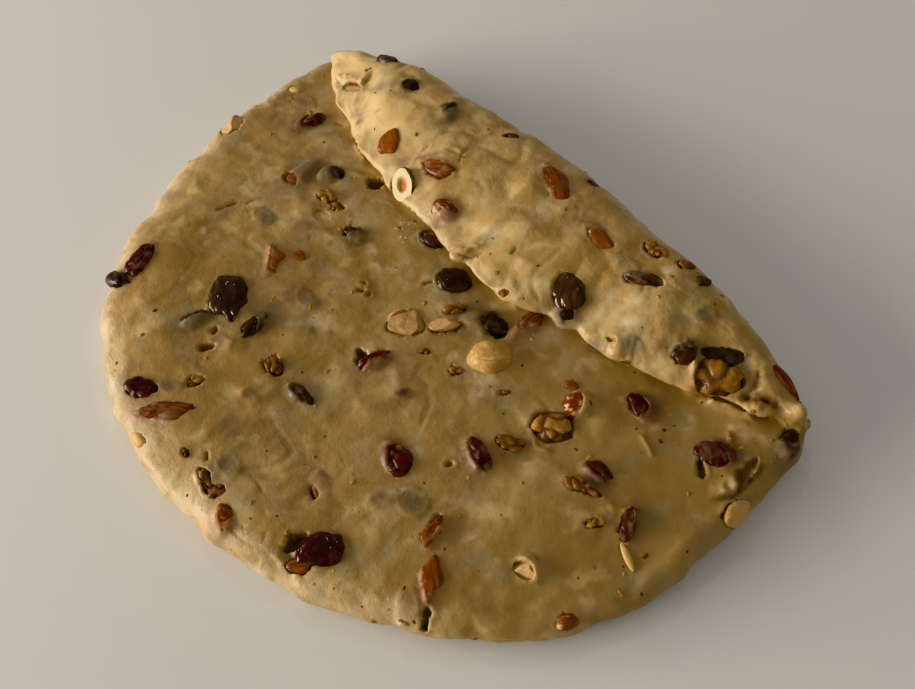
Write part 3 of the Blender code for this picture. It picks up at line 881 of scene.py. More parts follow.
def addTints(points, normals, paint):
    for *patch, tone, strength in tints:
        index, share = patchOn(points, normals, 0, *patch)
        share += 0.25 * noise(points[index], 4, 8)
        stain(paint, index, np.array(tones[tone]), (strength * ease(1.3, 0.1, share))[:, None])


def gatherSpots():
    spots = []
    names = sorted(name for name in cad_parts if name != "dough")
    for number, name in enumerate(names):
        spots.append(spotFromNode(name, number))
    number = 0
    for kind, group in chips.items():
        for place, look in group:
            number += 1
            spots.append(spotFromAbove(kind, place, number, 0.9, **look))
    for *place, proud, kind, strength in sunken:
        number += 1
        spots.append(spotFromAbove(kind, place, number, proud, hidden=True, cover=0.55, strength=strength))
    for *place, depth in holes:
        number += 1
        spots.append(spotFromAbove("hole", place, number, 0, bare=1.0, torn=0.22, depth=depth))
    return names, spots


nodeNames, spots = gatherSpots()
marks = strokeSpots()
print("pieces:", len(nodeNames), "of the frame,", len(spots) - len(nodeNames), "further ones")


# the soft lumps of the skin: height and size of each layer of them, in mm, its creases, the
# crinkled band along the flap's free edge, and the low roll along the sheet's left edge
relief = dict(lumps=((1.05, 27), (0.50, 12), (0.22, 5.5), (0.10, 2.6)), crease=0.40, creaseSize=17,
              crinkle=0.45, crinkleSize=4.6, fine=0.16, fineSize=1.9, roll=1.6)


def doughRelief(place):
    # the places are stirred a little first, so that the lumps lie in soft swirls
    stir = np.stack([noise(place, 20, 11), noise(place, 20, 12), np.zeros(len(place))], axis=1)
    place = (place + 7 * stir) * [1, 0.8, 1]
    layers = enumerate(relief["lumps"], 1)
    lift = sum(height * noise(place, size, number) for number, (height, size) in layers)
    line = np.exp(-(noise(place, relief["creaseSize"], 5) / 0.045) ** 2)
    return lift - relief["crease"] * line * ease(0.05, 0.4, noise(place, 31, 6))


# how dough lies over a piece, in mm: the film's least thickness and how it thickens away from
# the opening, on its lapped side and elsewhere, how softly it meets the skin, how deep the
# dough is cut away under the piece, and how thick it may be and still be clear
press = dict(thinnest=0.06, cover=0.08, lapGrow=0.09, edgeGrow=0.12, waver=0.10, soft=1.3, hiddenSoft=2.6,
             under=2.4, clear=0.12, edgeExtra=0.55, hiddenExtra=0.9)


farOff = 9.0                                # mm: past any opening, or below any lip


def besideOpening(spot, u, v):
    # distance from the opening's lip, the piece's height at the lip, and 1 where dough laps over
    opening = spot["opening"]
    if not opening:
        return np.full(len(u), farOff), np.zeros(len(u)), np.ones(len(u))
    shiftU, shiftV = opening["shift"]
    du, dv = u - shiftU, v - shiftV
    far = np.maximum(np.hypot(du, dv), 1e-6)
    edge = openingRadius(spot, np.arctan2(dv, du))
    lipTop, lipShare = liftTop(spot, shiftU + du * edge / far, shiftV + dv * edge / far)
    side = (du * opening["toward"][0] + dv * opening["toward"][1]) / far
    return far - edge, np.where(lipShare > 1, -farOff, lipTop), ease(-0.1, 0.7, side)


def digHole(spot, points, index, away, paint):
    depth = spot["look"]["depth"]
    lip = 0.25 * np.exp(-((away - 0.9) / 0.7) ** 2)
    points[index] += (lip - depth * ease(0.25, -0.9, away))[:, None] * spot["axes"][2]
    # painted shade inside the hole
    paintShade(paint, index, min(depth / 2.8, 1) * ease(0.1, -0.7, away))


def drapeOver(spot, place, w, top, share, away, lipTop, filmy):
    # the skin's new height: a film over the piece, a lip round the opening, dough cut away in it
    grow = np.clip(away, 0, 3)
    cover = spot.get("cover", press["cover"]) + press["lapGrow"] * grow * filmy
    cover = cover + press["edgeGrow"] * grow * (1 - filmy) + press["waver"] * noise(place, 2.4, spot["seed"])
    gap = top + np.maximum(cover, press["thinnest"]) - w
    soft = press["soft"] if spot["opening"] else press["hiddenSoft"]
    lifted = np.maximum(gap, 0) + np.maximum(soft - np.abs(gap), 0) ** 2 / (4 * soft)
    lifted *= ease(1.35, 0.88, share) * (0.25 + 0.75 * filmy)
    drop = np.clip(w - lipTop, 0, 0.7)
    turn = np.clip(away / (0.4 + 1.0 * drop), 0, 1)
    height = w + np.where(drop > 0, np.minimum(lifted, 0.4), lifted)
    height = height - drop * (1 - np.sqrt(1 - (1 - turn) ** 2))
    inside = ease(0.1, -0.4, away)
    return height * (1 - inside) + (np.minimum(w, top) - press["under"]) * inside


def showThrough(spot, place, over, share, filmy):
    # how strongly a piece shows through the dough over and beside it, and in what colour
    thick = np.maximum(over, 0) * (1 + 1.5 * (1 - filmy)) + press["edgeExtra"] * (1 - filmy)
    clouds = noise(place, 2.8, spot["seed"] + 3) + noise(place, 5, spot["seed"])
    if spot["opening"]:
        aside = np.maximum(share - 1, 0) * min(spot["half"][:2])
        halo = (0.25 + 0.45 * filmy) * np.exp(-aside / (1.4 + 1.6 * filmy)) * ease(0.95, 1.05, share)
        amount = np.exp(-np.maximum(thick - press["clear"], 0) / spot["reach"])
        amount = np.maximum(np.where(share < 1, amount, 0), halo)
    else:
        thick += press["hiddenExtra"]
        amount = spot["look"]["strength"] * ease(1.3, 0.25, share + 0.40 * clouds)
    amount *= 0.92 + 0.33 * clouds
    bare = (ease(0.5, 0.1, thick) * (share < 1))[:, None]
    colour = np.array(spot["own"]) * bare + np.array(spot["halo"]) * (1 - bare)
    return colour, np.clip(amount, 0, 1)[:, None]


def pressIn(spot, points, normals, spread, paint):
    # works one piece into the dough: film over it, an opening that clings to it, its colour
    reach = max(spot["half"][:2]) * 1.3 + 5
    near = np.linalg.norm(points - spot["skinAt"], axis=1) < reach
    near &= np.hypot(*(spread - spot["spreadAt"]).T) < reach + 3
    near &= normals @ spot["axes"][2] > 0.05
    index = np.flatnonzero(near)
    if not len(index):
        return
    u, v, w = ((points[index] - spot["centre"]) @ spot["axes"].T).T
    away, lipTop, filmy = besideOpening(spot, u, v)
    if spot["kind"] == "hole":
        digHole(spot, points, index, away, paint)
        return
    top, share = liftTop(spot, u, v)
    height = drapeOver(spot, points[index], w, top, share, away, lipTop, filmy)
    points[index] += (height - w)[:, None] * spot["axes"][2]
    stain(paint, index, *showThrough(spot, points[index], height - top, share, filmy))
    # painted shade in a narrow ring at the opening's lip
    paintShade(paint, index, 0.65 * ease(0.15, -0.25, away))


def settle(points, plain, normals):
    # the pieces ride on the lumps of the skin, so each rises with the dough round it
    raised = np.einsum("ij,ij->i", points - plain, normals)
    for spot in spots:
        close = np.linalg.norm(plain - spot["skinAt"], axis=1) < max(spot["half"][:2]) + 1
        close &= normals @ spot["axes"][2] > 0.3
        if close.any():
            spot["centre"] = spot["centre"] + spot["axes"][2] * raised[close].mean()


toNarrowEnd = np.array([0.645, 0.764])      # direction across the sheet, where it gets calmer
flourAndLightSide = math.radians(125)               # the rim opposite this heading, toward the window, is floured and painted lighter: partly real flour, partly painted light


def whatShows(spread, under, past, rim):
    # 1 where the skin can be seen, 0 where the folded sheet hides it
    shows = np.where(~under & (past < 0), ease(3, 0, behindFreeEdge(spread)), 0)
    shows = np.where(under, ease(-2, 4, past), shows)
    return np.maximum(shows, rim * (past < 0))


def crinkleOf(flat, under, past, inside):
    # the fine crinkles of the band along the flap's free edge
    lift = relief["crinkle"] * noise(flat * [1, 0.6, 1], relief["crinkleSize"], 21)
    lift += relief["fine"] * noise(flat, relief["fineSize"], 22)
    return lift * under * ease(26, 8, inside) * ease(0, 20, past)


def broadForm(flat, past, inside, across, upper):
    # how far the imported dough's unevenness and the roll along its left edge raise the skin
    sheetTop = upper * (1 - ease(-75, -55, past))
    flapTop = (1 - upper) * ease(0, 8, past)
    roll = ease(3, 15, inside) * ease(38, 17, inside) * ease(-5, -70, across)
    return swell(flat) * (sheetTop + flapTop) + relief["roll"] * roll * sheetTop


def makeDough():
    spread, under, faces, topCount = cutSkin(spots + marks)
    plain = layOut(spread, under)
    normals = vertexNormals(plain, faces)
    flat = unfold(plain)
    past, inside, across = pastFold(flat), insideEdge(spread), spread @ toNarrowEnd
    upper = np.clip(flat[:, 2] / sheet["thick"], 0, 1)
    rim = ease(-3, 1, sheet["rim"] - inside)
    shows = whatShows(spread, under, past, rim * upper)
    calm = np.where(under, 1.6 - 0.4 * ease(0, 110, across), 1.1 - 0.6 * ease(-60, 70, across))
    points = plain + normals * (doughRelief(flat) * shows * calm)[:, None]
    points += normals * crinkleOf(flat, under, past, inside)[:, None]
    points[:, 2] += broadForm(flat, past, inside, across, upper)
    # stain: colours that show through the skin, and tints; deep: painted shade
    paint = dict(stain=np.zeros((len(points), 4)), deep=np.zeros(len(points)))
    addHumps(points, normals)
    settle(points, plain, normals)
    for mark in marks:
        drawStroke(mark, points, normals, paint)
    addTints(points, normals, paint)
    for spot in spots:
        pressIn(spot, points, normals, spread, paint)
    points[:, 2] = np.maximum(points[:, 2], 0.0)
    # flour on the rim, most on the side toward the window: partly real flour, partly painted light
    flourAndLight = 0.15 + 0.85 * ease(-0.1, 0.45, np.cos(angleOf(spread) + flourAndLightSide))
    paint["rim"] = rim * np.where(past < 0, flourAndLight, 0.6 - 0.5 * ease(20, 100, across))
    # the flap's outside is painted paler, most of all along its free edge: partly its paler skin, partly
    # painted light on the rounded edge
    paleAndLitBand = 0.42 + 0.58 * ease(24, 6, inside)
    paint["flap"] = under * ease(0, 20, past) * paleAndLitBand * (1 - 0.85 * ease(40, 105, across))
    # how grainy the skin is, and how lit: lower toward the narrow end, away from the window, where the colour
    # gets painted shade
    paint["dry"] = np.clip(calm - 0.2 + 0.3 * paint["rim"], 0, 1)
    return dict(points=points, faces=faces, spread=spread, topCount=topCount, paint=paint, shows=shows)


def makeObject(name, points, faces, attributes=None):
    mesh = bpy.data.meshes.new(name)
    mesh.vertices.add(len(points))
    mesh.vertices.foreach_set("co", ((points + middle) * mm).astype(np.float32).ravel())
    mesh.loops.add(len(faces) * 3)
    mesh.loops.foreach_set("vertex_index", faces.astype(np.int32).ravel())
    mesh.polygons.add(len(faces))
    mesh.polygons.foreach_set("loop_start", np.arange(0, len(faces) * 3, 3, dtype=np.int32))
    mesh.update(calc_edges=True)
    mesh.validate()
    for label, values in (attributes or {}).items():
        if values.ndim == 1:
            mesh.attributes.new(label, "FLOAT", "POINT").data.foreach_set("value", values.astype(np.float32))
        else:
            layer = mesh.attributes.new(label, "FLOAT_COLOR", "POINT")
            layer.data.foreach_set("color", values.astype(np.float32).ravel())
    mesh.shade_smooth()
    piece = bpy.data.objects.new(name, mesh)
    bpy.context.scene.collection.objects.link(piece)
    return piece


class Wire:
    # one output in a material's node tree; sums and products of wires add Math nodes
    def __init__(self, tree, socket=None):
        self.tree, self.socket = tree, socket

    def add(self, nodeType, settings=None, sockets=None, out=0):
        node = self.tree.nodes.new(nodeType)
        for name, value in (settings or {}).items():
            if name == "stops":
                self.setStops(node, value)
            else:
                setattr(node, name, value)
        for name, value in (sockets or {}).items():
            self.plug(node.inputs[name], value)
        return Wire(self.tree, node.outputs[out])

    def setStops(self, node, stops):
        ramp = node.color_ramp
        while len(ramp.elements) < len(stops):
            ramp.elements.new(1)
        for element, (place, colour) in zip(ramp.elements, stops):
            element.position = place
            element.color = (*colour, 1)

    def plug(self, socket, value):
        if isinstance(value, Wire):
            self.tree.links.new(value.socket, socket)
        elif hasattr(socket.default_value, "__len__") and len(value) < len(socket.default_value):
            socket.default_value = (*value, 1)
        else:
            socket.default_value = value

    def math(self, operation, first, second):
        return self.add("ShaderNodeMath", {"operation": operation}, {0: first, 1: second})

    def __add__(self, other):
        return self.math("ADD", self, other)

    def __radd__(self, other):
        return self.math("ADD", other, self)

    def __sub__(self, other):
        return self.math("SUBTRACT", self, other)

    def __rsub__(self, other):
        return self.math("SUBTRACT", other, self)

    def __mul__(self, other):
        return self.math("MULTIPLY", self, other)

    def __rmul__(self, other):
        return self.math("MULTIPLY", other, self)

    def clamp(self):
        return self.add("ShaderNodeClamp", {}, {"Value": self})

    def between(self, low, high):
        # 0 below low, 1 above high, and eased between them
        return self.add("ShaderNodeMapRange", {"interpolation_type": "SMOOTHSTEP"},
                        {"Value": self, "From Min": low, "From Max": high})

    def choose(self, first, second):
        # this value mixes two colours: the first at 0, the second at 1
        return self.add("ShaderNodeMix", {"data_type": "RGBA"}, {0: self, 6: first, 7: second}, out=2)

    def under(self, colour, share):
        # a colour painted over this one, as densely as share says
        return self.add("ShaderNodeMix", {"data_type": "RGBA"}, {0: share, 6: self, 7: colour}, out=2)


def startMaterial(name, steady=None):
    # steady: what is the same all over, set on the shader's own sockets
    material = bpy.data.materials.new(name)
    material.use_nodes = True
    shader = material.node_tree.nodes["Principled BSDF"]
    for socket, value in (steady or {}).items():
        shader.inputs[socket].default_value = value
    paint = Wire(material.node_tree)
    return material, paint, shader, paint.add("ShaderNodeTexCoord", out="Object")


def finishMaterial(paint, shader, colour, rough, bump):
    # bump: its height, strength and depth in metres
    height, strength, depth = bump
    paint.plug(shader.inputs["Base Color"], colour)
    paint.plug(shader.inputs["Roughness"], rough)
    paint.plug(shader.inputs["Normal"], paint.add("ShaderNodeBump", {}, {
        "Strength": strength, "Distance": depth, "Height": height}))


def cloudy(paint, where, size, detail=2.0, rough=0.5):
    # noise with lumps of about the given size in millimetres
    return paint.add("ShaderNodeTexNoise", {}, {"Vector": where, "Scale": 1 / (size * mm), "Detail": detail,
                                               "Roughness": rough})


def spotsOf(paint, where, size):
    # distance to the nearest of scattered points, in units of their spacing
    return paint.add("ShaderNodeTexVoronoi", {}, {"Vector": where, "Scale": 1 / (size * mm)})


def attribute(paint, name, out="Fac"):
    return paint.add("ShaderNodeAttribute", {"attribute_name": name}, out=out)


doughLook = dict(
    pale=(0.455, 0.302, 0.134), ochre=(0.335, 0.204, 0.073), cool=(0.38, 0.315, 0.19),
    thin=(0.24, 0.165, 0.070), thick=(0.60, 0.44, 0.215), cream=(0.80, 0.565, 0.27), flour=(0.70, 0.56, 0.36),
    # deep: the colour of painted shade
    deep=(0.045, 0.020, 0.006), bran=(0.20, 0.085, 0.02), zest=(0.56, 0.30, 0.02), rough=0.42,
    steady={"Coat Roughness": 0.24, "Coat IOR": 1.38, "Specular IOR Level": 0.3, "Subsurface Weight": 0.28,
            "Subsurface Radius": (1.0, 0.55, 0.22), "Subsurface Scale": 0.0024},
)


def doughMaterial():
    look = doughLook
    material, paint, shader, where = startMaterial("dough", look["steady"])
    flap, rim, dry = attribute(paint, "flap"), attribute(paint, "rim"), attribute(paint, "dry")
    stained, moist = attribute(paint, "stain", "Alpha"), cloudy(paint, where, 10, 3).between(0.42, 0.68)
    mottle = cloudy(paint, where, 26, 3) * 0.6 + cloudy(paint, where, 6, 3) * 0.4
    colour = mottle.between(0.34, 0.68).choose(look["ochre"], look["pale"])
    colour = colour.under(look["cool"], cloudy(paint, where, 15, 2).between(0.54, 0.70) * 0.55)
    thin = cloudy(paint, where, 21, 3).between(0.55, 0.70) * (1 - flap)
    # thin see-through patches, and painted shade that deepens toward the narrow end, away from the window
    colour = colour.under(look["thin"], thin * 0.5 + (1 - dry) * 0.38)
    colour = colour.under(look["thick"], cloudy(paint, where, 12, 3).between(0.55, 0.70) * 0.55)
    # cream on the flap's outside: partly paler skin, partly painted light along its free edge
    colour = colour.under(look["cream"], flap * cloudy(paint, where, 16, 3).between(0.28, 0.66) * 0.85)
    # pale flour on the rim, most on the side toward the window: partly real flour, partly painted light
    flour = rim * cloudy(paint, where, 7, 4, 0.65).between(0.30, 0.62)
    colour = colour.under(look["flour"], flour * 0.42)
    specks = spotsOf(paint, where, 6.5).between(0.085, 0.05) * cloudy(paint, where, 12, 1).between(0.45, 0.6)
    colour = colour.under(look["bran"], specks * 0.75)
    colour = colour.under(attribute(paint, "stain", "Color"), stained)
    # painted shade in openings, holes, grooves and under laps
    colour = colour.under(look["deep"], attribute(paint, "deep") * 0.96)
    zest = spotsOf(paint, where, 9).between(0.16, 0.05) * cloudy(paint, where, 15, 1).between(0.50, 0.6)
    colour = colour.under(look["zest"], zest * 0.5)
    paint.plug(shader.inputs["Coat Weight"], (0.12 + moist * 0.45) * (1 - flour * 0.7) * (1 - stained * 0.6))
    rough = look["rough"] + flour * 0.2 - moist * 0.12 + stained * 0.22
    height = cloudy(paint, where, 2.6, 4, 0.55) * 0.7 + cloudy(paint, where, 0.9, 3, 0.6) * 0.3
    finishMaterial(paint, shader, colour, rough, (height * (dry + 0.12), 0.8, 0.0005))
    return material


# colours inside a nut, and of the dough smeared on a piece
insideLook = dict(cut=(0.58, 0.365, 0.175), shade=(0.32, 0.165, 0.065), pale=(0.86, 0.70, 0.43),
                  core=(0.42, 0.115, 0.014), smear=(0.36, 0.28, 0.19))
fruitLook = dict(
    cranberry=dict(dark=(0.018, 0.0015, 0.002), light=(0.115, 0.010, 0.012), rough=0.34, coat=0.22),
    raisin=dict(dark=(0.012, 0.003, 0.002), light=(0.080, 0.028, 0.009), rough=0.36, coat=0.25),
    almond=dict(dark=(0.09, 0.012, 0.002), light=(0.31, 0.086, 0.009), rough=0.42, coat=0.2),
    hazelnut=dict(dark=(0.13, 0.016, 0.006), light=(0.68, 0.43, 0.16), rough=0.42, coat=0.12),
    walnut=dict(dark=(0.13, 0.040, 0.007), light=(0.48, 0.245, 0.070), rough=0.42, coat=0.3),
)


def fruitMaterial(kind):
    look = fruitLook[kind]
    material, paint, shader, where = startMaterial(kind, {"Specular IOR Level": 0.15, "Coat Roughness": 0.09})
    film = attribute(paint, "film")
    mottle, fine = cloudy(paint, where, 3.2, 3), cloudy(paint, where, 0.9, 3)
    grainWay = attribute(paint, "grainWay", "Vector")
    along = paint.add("ShaderNodeTexNoise", {}, {"Vector": grainWay, "Scale": 1.0, "Detail": 4.0})
    share = attribute(paint, "tone") * 0.7 + (mottle - 0.5) * 0.9 + (fine - 0.5) * 0.35 + 0.12
    height = cloudy(paint, where, 1.1, 4, 0.6) * 0.7
    if kind == "almond":
        share = attribute(paint, "tone") * 0.6 + (along - 0.5) * 2.5 + (mottle - 0.5) * 0.5 + 0.22
        height = along * 0.8
    if kind == "hazelnut":
        flakes = (mottle * 0.5 + along * 0.5).between(0.60, 0.52)
        share = 1 - attribute(paint, "skin") * flakes - (fine - 0.5) * 0.3
    colour = share.clamp().choose(look["dark"], look["light"])
    # darker deep in the grooves: painted shade in the berries' and walnuts' folds, and the almond skin's own
    # darker stripes
    colour = colour.under(tuple(part * 0.35 for part in look["dark"]), attribute(paint, "groove") * 0.8)
    layers = dict(cut=0.75 + mottle * 0.4, shade=0.5 + mottle * 0.8, pale=1, core=0.65 + fine * 0.5)
    for name, amount in layers.items():
        colour = colour.under(insideLook[name], attribute(paint, name) * amount)
    smear = (film * 0.9 + attribute(paint, "smear")) * cloudy(paint, where, 3.4, 2).between(0.44, 0.66)
    colour = colour.under(insideLook["smear"], smear.clamp() * 0.6)
    paint.plug(shader.inputs["Coat Weight"], (look["coat"] + attribute(paint, "gloss") * 0.6).clamp())
    rough = look["rough"] + (mottle - 0.5) * 0.25 + film * 0.12
    finishMaterial(paint, shader, colour, rough, (height, 0.7, 0.0005))
    return material


def unitBall(detail):
    bm = bmesh.new()
    bmesh.ops.create_icosphere(bm, subdivisions=detail, radius=1)
    points = np.array([vert.co for vert in bm.verts])
    faces = np.array([[vert.index for vert in face.verts] for face in bm.faces])
    bm.free()
    return points, faces


balls = {detail: unitBall(detail) for detail in (2, 3, 4, 5)}


def creased(points, size, seed):
    # rounded folds with narrow valleys between them: 1 on a fold, 0 in a valley
    return np.minimum(np.abs(noise(points, size, seed)) * 2.6, 1)


def roundBody(spot, ball):
    # a ball drawn out to the piece's rounded outline, with its flat faces: points and cut share
    look, power = spot["look"], 2 / spot["square"]
    around = np.hypot(ball[:, 0], ball[:, 1])
    outward = np.where(around > 1e-6, around ** power / np.maximum(around, 1e-6), 1)
    outward *= outlineOf(spot, np.arctan2(ball[:, 1], ball[:, 0]))
    unit = ball * np.stack([outward, outward, np.ones(len(ball))], axis=1)
    unit[:, 2] = np.sign(ball[:, 2]) * np.abs(ball[:, 2]) ** power
    if spot["kind"] == "almond":
        unit[:, 1] *= 1 - 0.30 * np.maximum(unit[:, 0], 0) ** 2
    cut = np.zeros(len(ball))
    for heading, tilt, distance in look.get("cuts", ()):
        lean = math.radians(tilt)
        normal = np.append(wayOf(heading) * math.sin(lean), math.cos(lean))
        beyond = unit @ normal - distance - 0.05 * noise(unit * 3, 1.6, spot["seed"] + tilt)
        unit -= np.maximum(beyond, 0)[:, None] * normal
        cut = np.maximum(cut, ease(0, 0.08, beyond))
    return unit, cut


def wrinkleBody(spot, body, cut):
    # each kind's own surface, and how deep in a groove each point lies
    kind, seed, look = spot["kind"], spot["seed"], spot["look"]
    mean = spot["half"].mean()
    if kind in ("cranberry", "raisin"):
        long = body / ([1.7, 1, 1] if kind == "raisin" else [1.25, 1, 1])
        folds, wrinkles, fine = (creased(long, size, seed + size) for size in (5.2, 2.5, 1.2))
        deep = look.get("wrinkled", 1.0)
        folds, wrinkles = 1 - deep * (1 - folds), 1 - deep * (1 - wrinkles)
        body *= 1 - (0.75 * (1 - folds) + 0.32 * (1 - wrinkles) + 0.10 * (1 - fine))[:, None] / mean
        body *= 1 + 0.5 * noise(body, 5.5, seed + 2)[:, None] / mean
        return np.clip(1.2 - folds * 1.3, 0, 1) * 0.7 + np.clip(1 - wrinkles * 1.4, 0, 1) * 0.4
    if kind == "walnut":
        folds, wrinkles = creased(body, look.get("fold", 4.4), seed), creased(body, 2.2, seed + 9)
        body *= 1 - (1.5 * (1 - folds) + 0.3 * (1 - wrinkles))[:, None] / mean
        body *= 1 + 0.10 * noise(body, 1.1, seed + 4)[:, None] / mean
        return np.clip(1.1 - folds * 1.2, 0, 1)
    if kind == "almond":
        ridges = noise(body * [0.25, 1, 1], 1.5, seed)
        body *= 1 + ((0.10 * ridges + 0.25 * noise(body, 4, seed)) * (1 - cut))[:, None] / mean
        return np.clip(-ridges * 0.5, 0, 1) * (1 - cut)
    body *= 1 + (0.16 * noise(body, 3, seed) + 0.35 * noise(body, 7, seed))[:, None] / mean
    return np.zeros(len(body))


def shapePiece(spot, detail):
    # one piece's points and faces, and what its material reads at each point
    ball, faces = balls[detail]
    look, opening = spot["look"], spot["opening"]
    unit, cut = roundBody(spot, ball)
    body = unit * spot["half"]
    groove = wrinkleBody(spot, body, cut)
    hollow, core = look.get("hollow"), np.zeros(len(ball))
    if hollow:
        core = ease(hollow, hollow * 0.4, np.hypot(unit[:, 0], unit[:, 1])) * (cut > 0.5)
        body[:, 2] -= core * spot["half"][2] * 0.35
    du, dv = body[:, 0] - opening["shift"][0], body[:, 1] - opening["shift"][1]
    away = np.hypot(du, dv) - openingRadius(spot, np.arctan2(dv, du))
    side = (du * opening["toward"][0] + dv * opening["toward"][1]) / np.maximum(np.hypot(du, dv), 1e-6)
    marks = dict(groove=groove, cut=cut, core=core, film=ease(-2.2, 0.1, away) * ease(-0.2, 0.7, side))
    usual = dict(tone=0.5 + 0.35 * math.sin(spot["seed"] * 3.1), smear=0.15, shade=0.0, gloss=0.0, pale=0.0,
                 skin=0.10)
    for name, value in usual.items():
        marks[name] = np.full(len(ball), look.get(name, value))
    marks["pale"] *= cut
    marks["skin"] *= 1 - cut
    marks["grainWay"] = np.concatenate([body * [0.18, 1.1, 1.1], np.ones((len(ball), 1))], axis=1)
    return spot["centre"] + body @ spot["axes"], faces, marks


def makeKind(kind):
    mine = [spot for spot in spots if spot["kind"] == kind and spot["opening"]]
    points, faces, marks, total = [], [], [], 0
    for spot in mine:
        detail = 5 if spot["half"][0] > 7.4 else 4 if spot["half"][0] > 3.2 else 3
        body, cut, mark = shapePiece(spot, detail)
        points.append(body)
        faces.append(cut + total)
        marks.append(mark)
        total += len(body)
    joined = {name: np.concatenate([mark[name] for mark in marks]) for name in marks[0]}
    piece = makeObject(kind + "Pieces", np.concatenate(points), np.concatenate(faces), joined)
    piece.data.materials.append(fruitMaterial(kind))
    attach(piece, "root")
    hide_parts(*[name for name in nodeNames if name.startswith(kind)])
    print(kind + ":", len(mine), "pieces,", sum(map(len, faces)), "triangles")


def doughMap(mesh, dough):
    # a map for the finish: most room for the sheet's top and the flap's outside
    span = 318.0                                         # mm of skin from side to side
    spread, faces = dough["spread"], dough["faces"]
    low = warp(spread, np.ones(len(spread), bool))
    centre = spread[faces].mean(axis=1)
    top = np.arange(len(faces)) < dough["topCount"]
    folded = pastFold(centre) > 0
    parts = ((top & ~folded, spread, 1, (142, 146)), (~top & folded, low, 1, (142, 166)),
             (top & folded, spread, 0.08, (300, 40)), (~top & ~folded, spread, 0.09, (300, 90)))
    uv = np.zeros((len(faces), 3, 2))
    for here, places, size, shift in parts:
        uv[here] = (places[faces[here]] * size + shift) / span
    layer = mesh.uv_layers.new(name="OFBake")
    layer.data.foreach_set("uv", np.clip(uv, 0, 1).astype(np.float32).ravel())


def finishDough():
    dough = makeDough()
    piece = makeObject("doughSkin", dough["points"], dough["faces"], dough["paint"])
    doughMap(piece.data, dough)
    piece.data.materials.append(doughMaterial())
    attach(piece, "root")
    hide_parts("dough")
    print("dough:", len(dough["points"]), "points,", len(dough["faces"]), "triangles")
    return dough


# small bits on the skin: how many, half their thickness, how long and flat they are, their
# colour, how much they keep to the rim, and the places of the ones that stand out
bits = dict(
    zest=dict(count=12, size=(0.3, 0.5), long=2.2, flat=0.45, colour=(0.52, 0.29, 0.02), rim=0.0,
              at=((114, 24), (119, -37), (123, -41), (84, -17), (-38, -60), (-50, -80), (-26, -52))),
    bran=dict(count=60, size=(0.2, 0.5), long=1.4, flat=0.6, colour=(0.115, 0.042, 0.010), rim=0.0,
              at=((127, -16), (119, -28), (127, -36), (118, -36), (93, 9), (95, 5), (-60, -96))),
    nutCrumb=dict(count=60, size=(0.45, 1.0), long=1.4, flat=0.7, colour=(0.40, 0.22, 0.07), rim=0.0, at=()),
    # flour crumbs on the floured rim; the listed ones are pale bits that stand for wet glints: painted
    # highlights
    flourAndGlintCrumb=dict(count=70, size=(0.15, 0.3), long=1.4, flat=0.5, colour=(0.66, 0.58, 0.45), rim=1.0,
                    at=((-36, 0), (-37, 2), (-34, 1), (-33, 3), (-34, -2), (-33, 0), (-30, -7), (-28, -7),
                        (-29, -5), (-31, -6), (35, 2), (33, 4), (35, 6), (33, 8), (37, 1), (32, 9),
                         (35, 10), (37, 0))),
)


def bitMaterial(name, colour):
    material, paint, shader, where = startMaterial(name)
    mottle = cloudy(paint, where, 0.8, 3)
    colour = mottle.between(0.35, 0.65).choose(tuple(part * 0.55 for part in colour), colour)
    finishMaterial(paint, shader, colour, 0.45 + mottle * 0.4, (mottle, 0.5, 0.0002))
    return material


def makeBits(dough):
    chance = np.random.default_rng(21)
    points, paint = dough["points"], dough["paint"]
    normals = vertexNormals(points, dough["faces"])
    clear = (paint["deep"] < 0.05) & (paint["stain"][:, 3] < 0.5) & (dough["shows"] > 0.8)
    seen = np.flatnonzero(clear & (normals[:, 2] > -0.2) & (points[:, 2] > 1))
    onRim = seen[paint["rim"][seen] > 0.5]
    upper = np.flatnonzero(normals[:, 2] > 0.3)
    ball, cut = balls[2]
    for name, bit in bits.items():
        source = chance.choice(onRim if bit["rim"] else seen, bit["count"])
        marked = [upper[np.linalg.norm(points[upper] - dropOn(x, y), axis=1).argmin()] for x, y in bit["at"]]
        bodies, faces = [], []
        for number, index in enumerate(list(source) + marked):
            size = chance.uniform(*bit["size"]) * (1 if number < bit["count"] else 1.5)
            axes = lieOf(normals[index], chance.uniform(0, 360))
            body = ball * (1 + 0.25 * noise(ball * 2, 1.3, number)[:, None])
            body = body * [size * bit["long"] * chance.uniform(0.8, 1.3), size, size * bit["flat"]]
            bodies.append(points[index] - normals[index] * size * bit["flat"] * 0.35 + body @ axes)
            faces.append(cut + number * len(ball))
        piece = makeObject(name, np.concatenate(bodies), np.concatenate(faces))
        piece.data.materials.append(bitMaterial(name, bit["colour"]))
        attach(piece, "root")
    print("bits:", ", ".join(bits))


makeBits(finishDough())
for kindName in kinds:
    makeKind(kindName)


# floor, light and camera, in degrees and mm, but a lamp's size and the floor's half in metres:
# the window is low on the left, and the glint is a small lamp high behind
view = dict(azimuth=49.8, elevation=56, distance=366, aim=(14.36, -15.39, 0), lens=38.6)
light = dict(
    window=dict(energy=47, heading=-173, rise=12, size=(1.55, 0.61)),
    glint=dict(energy=1.0, heading=100, rise=56, size=(0.09, 0.06)),
    away=1700, colour=(1.0, 0.93, 0.80), sky=0.36, skyColour=(1.0, 0.965, 0.90),
)
table = dict(colour=(0.75, 0.74, 0.72), half=2.2, below=0.15, shine=0.12)


def link(obj):
    bpy.context.scene.collection.objects.link(obj)
    return obj


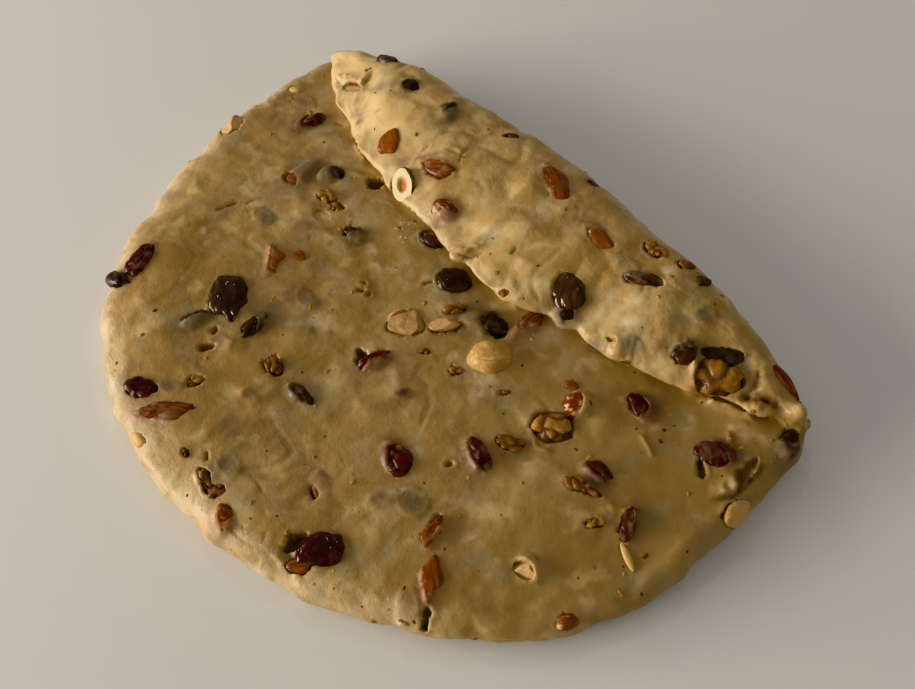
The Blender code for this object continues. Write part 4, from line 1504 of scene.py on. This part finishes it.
def aimAt(obj, place, target):
    obj.location = (place + middle) * mm
    way = Vector((target - place) * mm)
    obj.rotation_euler = way.to_track_quat("-Z", "Y").to_euler()


def makeFloor():
    bm = bmesh.new()
    bmesh.ops.create_grid(bm, x_segments=8, y_segments=8, size=table["half"])
    mesh = bpy.data.meshes.new("floor")
    bm.to_mesh(mesh)
    bm.free()
    floor = link(bpy.data.objects.new("floor", mesh))
    floor.location = (0, 0, -table["below"] * mm)
    steady = {"Base Color": (*table["colour"], 1), "Specular IOR Level": table["shine"]}
    material, paint, shader, where = startMaterial("paleTable", steady)
    paint.plug(shader.inputs["Roughness"], 0.5 + cloudy(paint, where, 40, 2) * 0.1)
    mesh.materials.append(material)


def addLamp(name):
    look = light[name]
    rise = math.radians(look["rise"])
    way = np.append(wayOf(view["azimuth"] + look["heading"]) * math.cos(rise), math.sin(rise))
    lamp = bpy.data.lights.new(name, "AREA")
    lamp.energy = look["energy"]
    lamp.shape = "RECTANGLE"
    lamp.size, lamp.size_y = look["size"]
    lamp.color = light["colour"]
    aimAt(link(bpy.data.objects.new(name, lamp)), way * light["away"], np.zeros(3))


def makeLights():
    addLamp("window")
    addLamp("glint")
    world = bpy.data.worlds.new("room")
    world.use_nodes = True
    sky = world.node_tree.nodes["Background"]
    sky.inputs["Color"].default_value = (*light["skyColour"], 1)
    sky.inputs["Strength"].default_value = light["sky"]
    bpy.context.scene.world = world


def makeCamera():
    turn, rise = math.radians(view["azimuth"]), math.radians(view["elevation"])
    back = np.array([math.sin(turn) * math.cos(rise), -math.cos(turn) * math.cos(rise), math.sin(rise)])
    lens = bpy.data.cameras.new("camera")
    lens.lens = view["lens"]
    lens.sensor_width = 36
    lens.clip_start = 0.01
    camera = link(bpy.data.objects.new("camera", lens))
    aim = np.array(view["aim"], float)
    aimAt(camera, aim + back * view["distance"], aim)
    bpy.context.scene.camera = camera


makeFloor()
makeLights()
makeCamera()
bpy.context.scene.view_settings.view_transform = "Khronos PBR Neutral"
bpy.context.scene.view_settings.look = "None"
